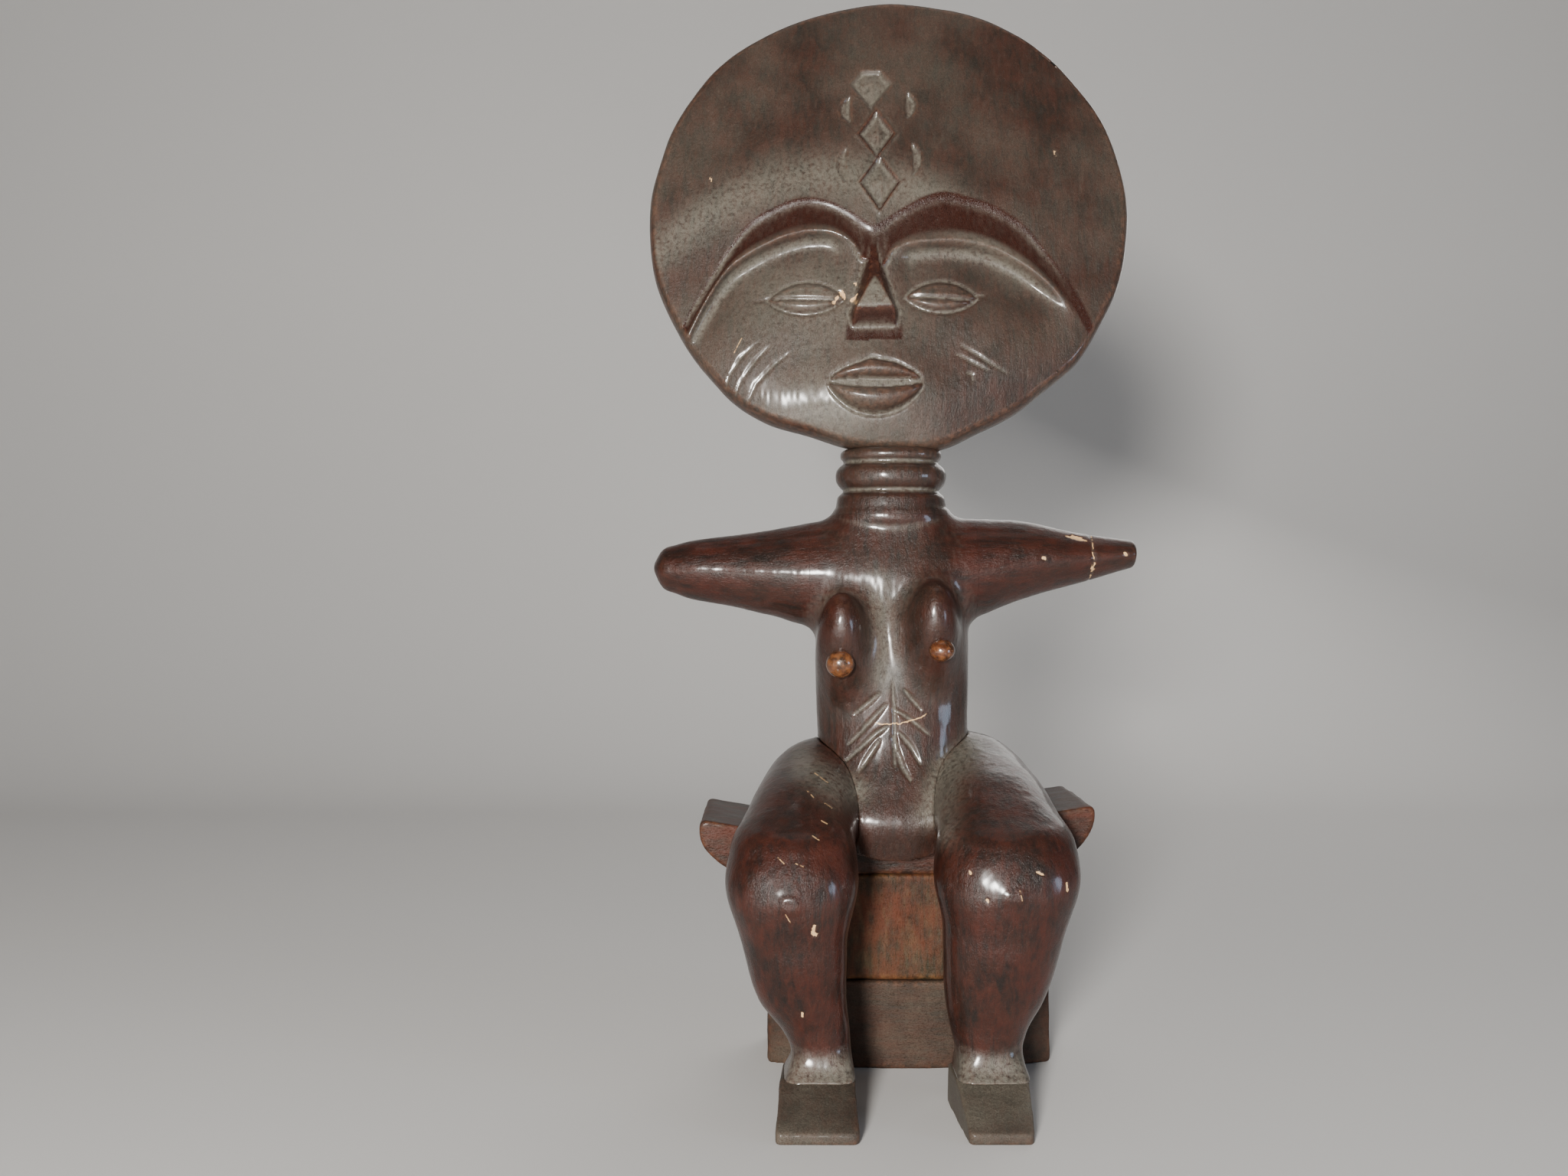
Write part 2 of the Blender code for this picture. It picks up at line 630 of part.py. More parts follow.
def build_arms(parts, cutters):
    """Two arms with round tenons, and the glued-back tip of the left one."""
    sockets = []
    radius, length = ARM_TENON
    arms = []
    for name, side, outer in (("right_arm", -1, ARMS[0][0]), ("left_arm", 1, ARM_TIP_JOINT - GAP / 2)):
        inner = side * (SHOULDER_X + GAP / 2)
        arm = arm_body(name, min(inner, outer), max(inner, outer), parts)
        z = arm_height(side * SHOULDER_X)
        ends = ((inner + side * 4.0, 0, z), (inner - side * length, 0, z))
        combine(arm, [cylinder(name + "_tenon", *ends, radius, cutters)], "UNION")
        deep = (ends[1][0] - side * GAP, 0, z)
        sockets.append(cylinder(name + "_socket", ends[0], deep, radius + GAP, cutters))
        arms.append(arm)
    arms.append(arm_body("left_arm_tip", ARM_TIP_JOINT + GAP / 2, ARMS[-1][0], parts))
    return arms, sockets


def build_legs(parts, cutters):
    """Legs that fit round the hips and on the seat, with tenons into the hips and the feet."""
    around = [torso_body("hip_clearance", GAP, cutters), seat_body("seat_clearance", GAP, 0, cutters)]
    legs, hip_sockets, foot_sockets = [], [], {}
    for name, rows, side in (("right_leg", RIGHT_LEG, -1), ("left_leg", LEFT_LEG, 1)):
        leg = leg_body(name, rows, parts)
        combine(leg, around, "DIFFERENCE")
        radius, length = HIP_TENON
        ends = ((side * 24.0, -5.0, 85.5), (side * (17.5 - length), -3.0, 85.5))
        adds = [cylinder(name + "_hip_tenon", *ends, radius, cutters)]
        x, y = rows[-1][0], rows[-1][1]
        ankle, depth = ANKLE_TENON
        low, high = (x, y, ANKLE_Z - depth), (x, y, ANKLE_Z + 3)
        adds.append(cylinder(name + "_ankle_tenon", high, low, ankle, cutters))
        combine(leg, adds, "UNION")
        deeper = (ends[1][0] - side * GAP, ends[1][1], ends[1][2])
        hip_sockets.append(cylinder(name + "_hip_socket", ends[0], deeper, radius + GAP, cutters))
        foot_sockets[name.replace("leg", "foot")] = cylinder(
            name + "_ankle_socket", (x, y, ANKLE_Z + 3), (x, y, ANKLE_Z - depth - GAP), ankle + GAP, cutters)
        legs.append(leg)
    return legs, hip_sockets, foot_sockets


def wood_material(name, colour, roughness):
    material = bpy.data.materials.new(name)
    material.use_nodes = True
    shader = material.node_tree.nodes["Principled BSDF"]
    shader.inputs["Base Color"].default_value = colour
    shader.inputs["Roughness"].default_value = roughness
    shader.inputs["Metallic"].default_value = 0.0
    return material


def finish(parts):
    """Materials, smooth shading and the move to the bounding box's bottom centre."""
    corners = [v.co for item in parts.objects for v in item.data.vertices]
    low = [min(c[i] for c in corners) for i in range(3)]
    high = [max(c[i] for c in corners) for i in range(3)]
    shift = Matrix.Translation((-(low[0] + high[0]) / 2, -(low[1] + high[1]) / 2, -low[2]))
    for item in parts.objects:
        item.data.transform(shift)
        colour, roughness = (STUD, 0.22) if item.name.endswith("peg") else (WOOD, 0.38)
        item.data.materials.clear()
        item.data.materials.append(wood_material(item.name + "_wood", colour, roughness))
        item.data.shade_smooth()
        item.data.set_sharp_from_angle(angle=math.radians(32))


def main():
    clear_scene()
    parts = collection("fertility_doll")
    cutters = collection("cutters")

    head = build_head(parts, cutters)
    head_socket, neck_seats = build_neck(parts, cutters)
    combine(head, [head_socket], "DIFFERENCE")

    torso = build_torso(parts, cutters)
    arms, arm_sockets = build_arms(parts, cutters)
    legs, hip_sockets, foot_sockets = build_legs(parts, cutters)
    for name, socket in foot_sockets.items():
        combine(build_foot(name, parts), [socket], "DIFFERENCE")

    pegs = {"right_nipple_peg": (-16.8, -27.5, 125.6), "left_nipple_peg": (13.0, -27.2, 129.6)}
    peg_sockets = []
    for name, place in pegs.items():
        build_peg(name, place, parts)
        peg_sockets.append(peg_socket(name + "_socket", place, cutters))

    x, y = column_axis()
    radius, up, down = COLUMN_TENON
    low, high = BASE_HEIGHT - down, SEAT_MIDDLE_BOTTOM + up
    tenon = cylinder("column_tenon", (x, y, low), (x, y, high), radius, cutters)
    mortise = cylinder("column_mortise", (x, y, low - GAP), (x, y, high + GAP), radius + GAP, cutters)
    column = combine(build_column(parts), [tenon], "UNION")
    low, high = (-SEAT_NOTCH[0], SEAT_FRONT - 5.0, 50.0), (SEAT_NOTCH[0], SEAT_NOTCH[1], 90.0)
    notch = box("seat_notch", low, high, cutters)
    seat = combine(seat_body("stool_seat", 0.0, 1.0, parts), [mortise, notch], "DIFFERENCE")
    base = combine(build_base(parts), [mortise], "DIFFERENCE")

    seat_space = seat_body("seat_space", GAP, 0, cutters)
    combine(torso, [seat_space, mortise] + neck_seats + arm_sockets + hip_sockets + peg_sockets, "DIFFERENCE")

    for item in cutters.objects:
        item.hide_render = True
        item.display_type = "WIRE"
    finish(parts)


main()
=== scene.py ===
"""Looks of the seated fertility doll: every carved piece is sculpted from formulas, one for each CAD node."""
import math

import bmesh
import bpy
import numpy as np
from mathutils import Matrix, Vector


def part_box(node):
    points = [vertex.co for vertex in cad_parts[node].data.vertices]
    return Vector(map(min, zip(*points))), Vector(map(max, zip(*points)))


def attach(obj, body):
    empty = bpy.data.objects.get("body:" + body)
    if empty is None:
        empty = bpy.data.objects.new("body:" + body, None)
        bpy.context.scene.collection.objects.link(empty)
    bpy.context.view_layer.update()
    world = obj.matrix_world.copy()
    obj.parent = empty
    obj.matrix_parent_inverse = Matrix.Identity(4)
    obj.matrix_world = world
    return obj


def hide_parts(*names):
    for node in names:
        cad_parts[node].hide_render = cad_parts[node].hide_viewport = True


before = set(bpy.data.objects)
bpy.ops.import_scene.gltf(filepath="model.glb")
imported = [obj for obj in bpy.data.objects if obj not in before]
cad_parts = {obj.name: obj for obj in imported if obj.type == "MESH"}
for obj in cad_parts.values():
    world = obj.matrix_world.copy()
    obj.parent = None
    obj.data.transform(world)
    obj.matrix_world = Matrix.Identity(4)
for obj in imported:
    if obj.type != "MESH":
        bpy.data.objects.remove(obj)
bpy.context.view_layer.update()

import openvdb
from mathutils import Matrix, Vector

# Millimetres round the torso's axis; the base's corner says where that axis stands in the frame.
BASE_X = (-38.5, 49.5)
BASE_Y = (-7.0, 28.0)
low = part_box("stool_base")[0]
OFFSET = np.array([low[0] * 1000 - BASE_X[0], low[1] * 1000 - BASE_Y[0], 0.0])

COARSE = 1.0

HEAD_CENTRE = np.array([0.0, 8.5, 263.1])
HEAD_A, HEAD_B = 75.5, 74.6
HEAD_TILT = math.radians(10)
FACE_X, FACE_Y = -5.8, 1.8
SHOULDER_X = 25.7
TIP_X = 61.5
ANKLE_Z = 11.8


# --- noise ---
def hash01(ix, iy, iz, seed):
    """A repeatable number from 0 to 1 for each lattice point."""
    h = (ix.astype(np.uint32) * np.uint32(73856093)) ^ (iy.astype(np.uint32) * np.uint32(19349663))
    h ^= (iz.astype(np.uint32) * np.uint32(83492791)) ^ np.uint32(seed * 2654435761 % 4294967296)
    h = (h ^ (h >> np.uint32(13))) * np.uint32(1274126177)
    h = (h ^ (h >> np.uint32(16))) * np.uint32(2246822519)
    return ((h ^ (h >> np.uint32(15))) & np.uint32(0xFFFFFF)).astype(np.float64) / 0xFFFFFF


def noise(p, size, seed=0):
    """Smooth noise from -1 to 1 with features of the given size, which may differ along X, Y and Z."""
    q = p / np.asarray(size, dtype=float)
    cell = np.floor(q).astype(np.int64)
    f = q - cell
    f = f * f * (3 - 2 * f)
    total = np.zeros(len(p))
    for dx in (0, 1):
        for dy in (0, 1):
            for dz in (0, 1):
                weight = ((f[:, 0] if dx else 1 - f[:, 0]) * (f[:, 1] if dy else 1 - f[:, 1])
                          * (f[:, 2] if dz else 1 - f[:, 2]))
                total += weight * hash01(cell[:, 0] + dx, cell[:, 1] + dy, cell[:, 2] + dz, seed)
    return total * 2 - 1


def scallops(p, size, seed=0):
    """Shallow dishes side by side, as a knife leaves them: 0 in mid-cut, up to 1 on the ridges."""
    q = p / np.asarray(size, dtype=float)
    cell = np.floor(q).astype(np.int64)
    near = np.full(len(p), 9.0)
    for dx in (-1, 0, 1):
        for dy in (-1, 0, 1):
            for dz in (-1, 0, 1):
                c = cell + (dx, dy, dz)
                spot = np.stack([hash01(c[:, 0], c[:, 1], c[:, 2], seed + k) for k in (1, 2, 3)], axis=1)
                near = np.minimum(near, ((c + spot - q) ** 2).sum(1))
    return np.minimum(near, 1.0)


# --- shape helpers ---
def smooth_min(a, b, k):
    h = np.clip(0.5 + 0.5 * (b - a) / k, 0, 1)
    return b + (a - b) * h - k * h * (1 - h)


def smooth_max(a, b, k):
    return -smooth_min(-a, -b, k)


def step(low, high, value):
    t = np.clip((value - low) / (high - low), 0, 1)
    return t * t * (3 - 2 * t)


def through(rows):
    """Smooth curves through rows of (position, values...): a function of position that returns the values."""
    rows = np.array(rows, dtype=float)
    at = rows[:, 0]
    fine = np.linspace(at[0], at[-1], 400)
    columns = []
    for values in rows[:, 1:].T:
        slope = np.gradient(values, at)
        k = np.clip(np.searchsorted(at, fine, side="right") - 1, 0, len(at) - 2)
        h = at[k + 1] - at[k]
        t = (fine - at[k]) / h
        columns.append(values[k] * (2 * t ** 3 - 3 * t ** 2 + 1) + slope[k] * h * (t ** 3 - 2 * t ** 2 + t)
                       + values[k + 1] * (-2 * t ** 3 + 3 * t ** 2) + slope[k + 1] * h * (t ** 3 - t ** 2))
    return lambda x: [np.interp(x, fine, c).astype(np.float32) for c in columns]


def section(u, v, a, b, power):
    """Distance outside a rounded section with half sizes a and b, measured along the radius."""
    r = np.sqrt(u * u + v * v) + 1e-4
    rho = ((np.abs(u) / a) ** power + (np.abs(v) / b) ** power) ** (1 / power) + 1e-4
    return r * (1 - 1 / rho)


def ellipsoid(x, y, z, centre, radii, lean=0.0):
    """Distance outside an ellipsoid that leans about X, in degrees."""
    c, s = math.cos(math.radians(lean)), math.sin(math.radians(lean))
    px, py, pz = x - centre[0], y - centre[1], z - centre[2]
    py, pz = c * py + s * pz, -s * py + c * pz
    k0 = np.sqrt((px / radii[0]) ** 2 + (py / radii[1]) ** 2 + (pz / radii[2]) ** 2)
    k1 = np.sqrt((px / radii[0] ** 2) ** 2 + (py / radii[1] ** 2) ** 2 + (pz / radii[2] ** 2) ** 2) + 1e-5
    return k0 * (k0 - 1) / k1


def to_line(p, points):
    """Distance of each point to a polyline, and how far along the line it is, from 0 to 1."""
    points = [np.array(q, dtype=float) for q in points]
    best = np.full(len(p), 1e9)
    along = np.zeros(len(p))
    for k, (a, b) in enumerate(zip(points, points[1:])):
        d = b - a
        t = np.clip(((p - a) @ d) / (d @ d), 0, 1)
        dist = np.sqrt(((p - a - t[:, None] * d) ** 2).sum(1))
        closer = dist < best
        best = np.where(closer, dist, best)
        along = np.where(closer, (k + t) / (len(points) - 1), along)
    return best, along


# --- body fields ---
TORSO = through((
    (62.0, 0.0, 14.0, -21.6, 12.0), (68.0, 0.0, 14.6, -23.4, 16.0), (78.0, 0.0, 16.0, -25.4, 20.0),
    (88.0, 0.3, 18.8, -22.5, 20.5), (98.0, 0.3, 22.6, -19.5, 17.5), (110.0, 0.0, 23.4, -18.5, 14.0),
    (124.0, 0.0, 23.4, -18.5, 13.0), (138.0, 0.0, 23.6, -17.5, 14.0), (150.0, 0.0, 23.2, -15.0, 14.5),
    (160.0, 0.0, 21.0, -13.5, 13.5), (168.0, 0.0, 18.6, -13.0, 14.0), (172.0, 0.0, 17.4, -12.6, 13.6)))

ARMS = through((
    (-73.4, 150.8, 157.2, 3.6), (-71.5, 148.0, 159.6, 5.4), (-67.0, 145.9, 161.4, 7.0),
    (-51.0, 142.4, 164.2, 9.6), (-38.0, 139.4, 165.8, 11.6), (-25.0, 135.8, 168.2, 13.4),
    (-12.0, 134.0, 169.4, 14.6), (0.0, 133.5, 169.4, 15.0), (12.0, 134.5, 169.6, 14.6),
    (25.0, 138.0, 169.4, 13.4), (40.0, 143.8, 168.8, 11.6), (56.0, 148.6, 165.4, 9.0),
    (70.0, 152.8, 163.4, 6.2), (75.6, 154.4, 162.6, 5.0)))

# Thighs by Y: centre X, centre Z, half width, half height.
# Shins by Z: centre X, centre Y, half width, half depth.
RIGHT_THIGH = through((
    (-65.5, -32.0, 63.0, 3.0, 2.5), (-63.2, -31.9, 64.0, 9.0, 7.4), (-59.0, -31.6, 65.5, 13.6, 11.3),
    (-52.0, -31.0, 68.0, 16.2, 14.6), (-40.0, -29.8, 73.0, 16.6, 16.2), (-20.0, -26.6, 80.0, 16.0, 16.5),
    (0.0, -20.0, 84.0, 17.0, 17.5), (12.0, -16.5, 83.0, 14.0, 15.0), (18.0, -15.0, 82.0, 7.0, 9.0)))
LEFT_THIGH = through((
    (-65.5, 28.6, 65.0, 3.5, 2.5), (-63.2, 28.6, 66.0, 10.0, 7.4), (-59.0, 28.7, 67.5, 15.0, 11.3),
    (-52.0, 28.8, 70.0, 18.0, 14.6), (-40.0, 28.8, 75.0, 18.0, 16.2), (-20.0, 27.2, 82.0, 16.6, 16.5),
    (0.0, 20.5, 86.0, 17.4, 17.5), (12.0, 17.0, 85.0, 14.0, 15.0), (18.0, 15.0, 84.0, 7.0, 9.0)))
RIGHT_SHIN = through((
    (8.0, -23.6, -46.8, 10.4, 12.2), (11.8, -23.6, -46.8, 10.0, 11.8), (14.5, -23.2, -46.6, 9.2, 10.2),
    (18.0, -23.0, -46.8, 8.6, 9.0), (24.0, -24.4, -47.4, 9.6, 9.0), (32.0, -27.9, -48.5, 12.2, 10.4),
    (46.0, -30.2, -50.3, 14.5, 12.4), (56.0, -31.1, -50.6, 15.6, 12.8), (66.0, -31.6, -49.5, 16.2, 12.6),
    (74.0, -31.4, -47.5, 14.0, 11.0)))
LEFT_SHIN = through((
    (8.0, 24.6, -46.8, 10.8, 12.2), (11.8, 24.6, -46.8, 10.4, 11.8), (14.5, 24.3, -46.6, 9.8, 10.2),
    (18.0, 24.0, -46.8, 9.5, 9.0), (24.0, 23.9, -47.4, 10.8, 9.0), (33.0, 25.4, -48.5, 13.8, 10.4),
    (47.0, 27.1, -50.3, 16.2, 12.4), (57.0, 28.2, -50.6, 17.4, 12.8), (67.0, 28.6, -49.5, 18.2, 12.6),
    (76.0, 28.6, -47.5, 16.0, 11.0)))


def torso_field(x, y, z):
    cx, a, front, back = TORSO(z)
    power = 2.35 + 2.6 * step(96.0, 76.0, z)
    d = section(x - cx, y - (front + back) / 2, a, (back - front) / 2, power)
    return smooth_max(np.maximum(d, z - 172.0), 66.4 - z, 1.0)


def arms_field(x, y, z):
    bottom, top, depth = ARMS(x)
    d = section(y, z - (top + bottom) / 2, depth, (top - bottom) / 2, 1.72)
    d = smooth_max(d, x - 75.6, 1.4)
    return smooth_max(d, -74.0 - x, 3.0)


def breasts_field(x, y, z):
    right = ellipsoid(x, y, z, (-16.2, -17.4, 130.5), (7.6, 9.0, 17.0), 24)
    left = ellipsoid(x, y, z, (11.4, -17.2, 134.5), (7.4, 9.2, 15.5), 24)
    return np.minimum(right, left)


def leg_field(x, y, z, thigh, shin):
    cx, cz, a, b = thigh(y)
    upper = section(x - cx, z - cz, a, b, 2.25)
    upper = smooth_max(upper, smooth_max(-65.0 - y, y - 18.0, 2.0), 5.0)
    cx, cy, a, b = shin(z)
    lower = section(x - cx, y - cy, a, b, 2.2 + 3.4 * step(21.0, 12.0, z))
    lower = smooth_max(lower, z - 78.0, 6.0)
    leg = smooth_min(upper, lower, 9.0)
    return np.maximum(leg, ANKLE_Z + 0.1 - z)


def seat_lines(x):
    """Top and bottom of the seat at x, before its ends are rounded."""
    tip = np.where(x > 0, 83.6, 79.4)
    rise = (1 - np.cos(math.pi * np.clip(np.abs(x) / 44.0, 0, 1))) / 2
    top = 66.4 + (tip - 0.16 * (57.5 - np.abs(x)) * rise - 66.4) * rise
    run = np.clip(np.abs(x) - 27.5, 0, None)
    bottom = 60.0 + 0.0095 * run ** 2 + 2e-7 * run ** 5 + (tip - 81.5) * (np.abs(x) / 57.5) ** 3
    return top, bottom


def seat_field(x, y, z):
    top, bottom = seat_lines(x)
    d = smooth_max((z - top) * 0.94, (bottom - z) * 0.8, 1.4)
    d = smooth_max(d, np.abs(x) - 58.6, 2.6)
    return smooth_max(d, np.abs(y + 1.0) - 24.0, 0.9)


def foot_field(x, y, z, left, right):
    """A block with a flat top at the heel and a sloping front, narrower and chamfered at the toes."""
    share = np.clip((-35.5 - y) / 36.0, 0, 1)
    left, right = left[0] + (left[1] - left[0]) * share, right[0] + (right[1] - right[0]) * share
    middle, half = (right + left) / 2, (right - left) / 2
    side = np.abs(x - middle) - half
    slope = (z - 11.4 - 0.60 * (y + 57.5)) * 0.86
    top = smooth_max(slope, z - 11.5, 0.6)
    top = smooth_max(top, (z - 3.6) * 0.9 - 0.35 * (y + 71.5), 0.6)
    d = smooth_max(top, side, 0.9)
    d = smooth_max(d, -71.5 - y, 0.8)
    d = smooth_max(d, y + 35.5, 2.0)
    corner = (np.abs(x - middle) - half + (-70.6 - y)) * 0.7
    d = smooth_max(d, corner, 0.7)
    return smooth_max(d, -z, 0.5)


NECK = through((
    (158.0, 13.0), (163.0, 14.6), (166.5, 16.4), (169.0, 17.5), (170.6, 17.5), (172.6, 17.0), (174.6, 16.7),
    (176.2, 16.2), (177.2, 15.0), (178.0, 14.6), (179.0, 15.6), (180.6, 16.7), (182.4, 17.0), (184.2, 16.6),
    (185.4, 15.6), (186.2, 14.5), (187.0, 14.4), (187.8, 15.2), (188.8, 15.5), (190.0, 15.2), (191.0, 14.2),
    (192.0, 12.0)))


def neck_field(x, y, z):
    radius, = NECK(z)
    d = section(x + 0.2, y - 0.2, radius, radius * 0.82, 2.15)
    return np.maximum(smooth_max(d, z - 191.0, 1.6), 158.0 - z)


def head_shell(x, y, z):
    """Distance outside the head's lens, for the neck's top."""
    s, t = x, (z - HEAD_CENTRE[2]) * math.cos(HEAD_TILT) + (y - HEAD_CENTRE[1]) * math.sin(HEAD_TILT)
    h = -(y - HEAD_CENTRE[1]) * math.cos(HEAD_TILT) + (z - HEAD_CENTRE[2]) * math.sin(HEAD_TILT)
    r2 = (s / HEAD_A) ** 2 + (t / HEAD_B) ** 2
    rim = (np.sqrt(r2) - 1) * 74.0
    front = h - 4.5 - 7.5 * (1 - r2)
    back = -h - 4.5 - 4.5 * (1 - r2)
    return smooth_max(smooth_max(front, back, 1.5), rim, 4.0)


# --- meshes ---
class Clay:
    """Vertices in mm and faces of one piece, with the values its material reads."""

    def __init__(self, verts, faces):
        self.p = np.asarray(verts, dtype=float)
        self.faces = faces
        self.marks = {}

    @classmethod
    def sculpt(cls, field, low, high, size):
        size *= COARSE
        axes = [np.arange(a - 2 * size, b + 2 * size, size, dtype=np.float32) for a, b in zip(low, high)]
        x, y, z = axes[0][:, None, None], axes[1][None, :, None], axes[2][None, None, :]
        values = np.broadcast_to(field(x, y, z), [len(a) for a in axes]).astype(np.float32)
        grid = openvdb.FloatGrid(float(values.max()))
        grid.copyFromArray(np.ascontiguousarray(values))
        points, quads = grid.convertToQuads(0.0)
        start = np.array([a[0] for a in axes], dtype=float)
        clay = cls(points.astype(float) * size + start, quads.astype(np.int64))
        if clay.volume() < 0:
            clay.faces = clay.faces[:, ::-1]
        return clay

    def volume(self):
        a, b, c = (self.p[self.faces[:, k]] for k in (0, 1, 2))
        d = self.p[self.faces[:, 3]]
        return float((np.cross(b - a, c - a) * a).sum() + (np.cross(c - a, d - a) * a).sum())

    def edges(self):
        f = self.faces
        pairs = np.concatenate([f[:, [k, (k + 1) % f.shape[1]]] for k in range(f.shape[1])])
        return pairs[pairs[:, 0] != pairs[:, 1]]

    def normals(self):
        f = self.faces
        n = np.cross(self.p[f[:, 2]] - self.p[f[:, 0]], self.p[f[:, -1]] - self.p[f[:, 1]])
        out = np.zeros_like(self.p)
        for k in range(f.shape[1]):
            for axis in range(3):
                out[:, axis] += np.bincount(f[:, k], n[:, axis], len(self.p))
        return out / (np.linalg.norm(out, axis=1, keepdims=True) + 1e-12)

    def averaged(self, values, rounds):
        """Values smoothed over the neighbours."""
        pairs = self.edges()
        count = np.maximum(np.bincount(pairs.ravel(), minlength=len(self.p)), 1)[:, None]
        values = values.copy()
        for _ in range(rounds):
            total = np.empty_like(values)
            for axis in range(values.shape[1]):
                total[:, axis] = (np.bincount(pairs[:, 0], values[pairs[:, 1], axis], len(self.p))
                                  + np.bincount(pairs[:, 1], values[pairs[:, 0], axis], len(self.p)))
            values = 0.4 * values + 0.6 * total / count
        return values

    def relax(self, rounds):
        self.p = self.averaged(self.p, rounds)

    def push(self, amount):
        self.p += self.normals() * amount[:, None]

    def knife(self, seed, depth=0.16, size=(5.0, 5.0, 9.0)):
        """The uneven surface of hand carving: long swells, then small knife cuts."""
        p = self.p
        swell = 0.28 * noise(p, (17.0, 17.0, 24.0), seed) + 0.10 * noise(p, (7.0, 7.0, 10.0), seed + 1)
        cuts = depth * (scallops(p, size, seed + 2) - 0.4)
        self.push(swell + cuts + 0.03 * noise(p, (0.9, 0.9, 3.0), seed + 5))

    def near_line(self, points, front):
        """Distance to a polyline; with front, points are (X, Z) and the distance is seen from the front."""
        if not front:
            return to_line(self.p, points)
        dist, along = to_line(self.p * (1, 0, 1), [(x, 0, z) for x, z in points])
        return dist + 9.0 * step(0.0, 0.3, self.normals()[:, 1]), along

    def groove(self, points, width, depth, dust_and_sheen=0.8, taper=True, front=False):
        """A V cut along a polyline in mm."""
        dist, along = self.near_line(points, front)
        ends = np.sin(np.pi * np.clip(along, 0.0, 1.0)) ** 0.35 if taper else np.ones(len(along))
        cut = np.clip(1 - dist / (width * np.maximum(ends, 0.15)), 0, 1)
        self.push(-depth * cut * ends)
        self.mark("dust_and_sheen", cut * ends * dust_and_sheen)

    def chips(self, rows, seed, **how):
        """Chips with seeds one apart: each row has its points, radius, depth and perhaps its colour."""
        for number, (points, radius, depth, *colour) in enumerate(rows):
            self.chip(points, radius, depth, seed + number, *colour, **how)

    def dust_and_sheen_streak(self, points, width, amount, front=True):
        """A pale streak along a line: a dusty crease in the groins, painted sheen down the breastbone."""
        dist = self.near_line(points, front)[0]
        self.mark("dust_and_sheen", amount * np.exp(-(dist / width) ** 2))

    def chip(self, points, radius, depth, seed=0, colour=1.0, front=False):
        """A flake knocked off down to the pale wood."""
        dist = self.near_line(points, front)[0]
        dist = dist + radius * 0.35 * noise(self.p, radius * 0.8, 90 + seed)
        inside = step(radius, radius * 0.55, dist)
        self.push(-depth * inside)
        self.mark("chip", inside * colour)

    def mark(self, name, values):
        self.marks[name] = np.maximum(self.marks.get(name, np.zeros(len(self.p))), values)

    def shade_creases(self, strength=1.0):
        """Dusty hollows and rubbed raised edges: how far each point lies from its smoothed place."""
        n = self.normals()
        near = ((self.averaged(self.p, 5) - self.p) * n).sum(1)
        far = ((self.averaged(self.p, 28) - self.p) * n).sum(1)
        self.mark("dust_and_sheen", np.clip(near * 4.5 + far * 1.1, 0, 1) * strength)
        self.mark("wear_and_reflection", np.clip(-near * 4.0 - far * 0.7 - 0.05, 0, 1))

    def build(self, name):
        mesh = bpy.data.meshes.new(name)
        place = (self.p + OFFSET) * 0.001
        faces = self.faces
        mesh.vertices.add(len(place))
        mesh.vertices.foreach_set("co", place.astype(np.float32).ravel())
        mesh.loops.add(faces.size)
        mesh.loops.foreach_set("vertex_index", faces.astype(np.int32).ravel())
        mesh.polygons.add(len(faces))
        mesh.polygons.foreach_set("loop_start", np.arange(0, faces.size, faces.shape[1], dtype=np.int32))
        mesh.update(calc_edges=True)
        mesh.validate()
        for key in ("dust_and_sheen", "wear_and_reflection", "chip", "shade_and_bare"):
            values = self.marks.get(key, np.zeros(len(place)))
            mesh.attributes.new(key, "FLOAT", "POINT").data.foreach_set("value", values.astype(np.float32))
        mesh.shade_smooth()
        made = bpy.data.objects.new(name, mesh)
        bpy.context.collection.objects.link(made)
        return made


def cut_off(source, name, *planes):
    """A copy of a piece cut flat and closed at planes given as (axis, place, side to keep)."""
    made = bpy.data.objects.new(name, source.data.copy())
    made.data.name = name
    bpy.context.collection.objects.link(made)
    bm = bmesh.new()
    bm.from_mesh(made.data)
    for axis, place, side in planes:
        at, normal = Vector(), Vector()
        at[axis] = (place + OFFSET[axis]) * 0.001
        normal[axis] = side
        geom = list(bm.verts) + list(bm.edges) + list(bm.faces)
        result = bmesh.ops.bisect_plane(bm, geom=geom, plane_co=at, plane_no=normal,
                                        clear_inner=True, dist=1e-7)
        rim = [e for e in result["geom_cut"] if isinstance(e, bmesh.types.BMEdge)]
        filled = bmesh.ops.edgenet_fill(bm, edges=rim)["faces"]
        for edge in rim:
            edge.smooth = False
        for face in filled:
            face.smooth = False
    bmesh.ops.recalc_face_normals(bm, faces=bm.faces)
    bm.to_mesh(made.data)
    bm.free()
    return made


# --- the head ---
# The face is laid out in mm right of the disc's middle and above a level FACE_Y over it.
BROW = {
    -1: (((-66.5, -42.0), (-62.2, -32.4), (-56.4, -22.6), (-50.6, -13.8), (-44.7, -6.4), (-36.3, -1.2),
          (-26.8, 1.6), (-19.6, 0.3), (-12.5, -3.5), (-6.6, -7.5)),
         ((-66.0, -47.6), (-62.1, -39.6), (-56.4, -28.6), (-50.5, -20.2), (-44.7, -16.0), (-38.7, -12.9),
          (-32.8, -10.6), (-24.4, -9.0), (-17.3, -10.2), (-12.6, -13.8), (-9.6, -18.6))),
    1: (((-5.0, -7.5), (3.0, -2.4), (11.4, 2.1), (16.2, 3.2), (22.0, 2.0), (32.8, -1.4), (42.2, -7.7),
         (49.0, -16.0), (55.8, -25.0), (61.5, -33.7), (65.6, -42.0)),
        ((-2.4, -20.6), (-0.4, -17.0), (4.0, -14.0), (13.5, -12.4), (23.0, -12.6), (32.5, -15.0),
         (39.5, -18.6), (46.5, -23.4), (55.6, -32.4), (61.2, -41.1), (65.0, -48.0)))}

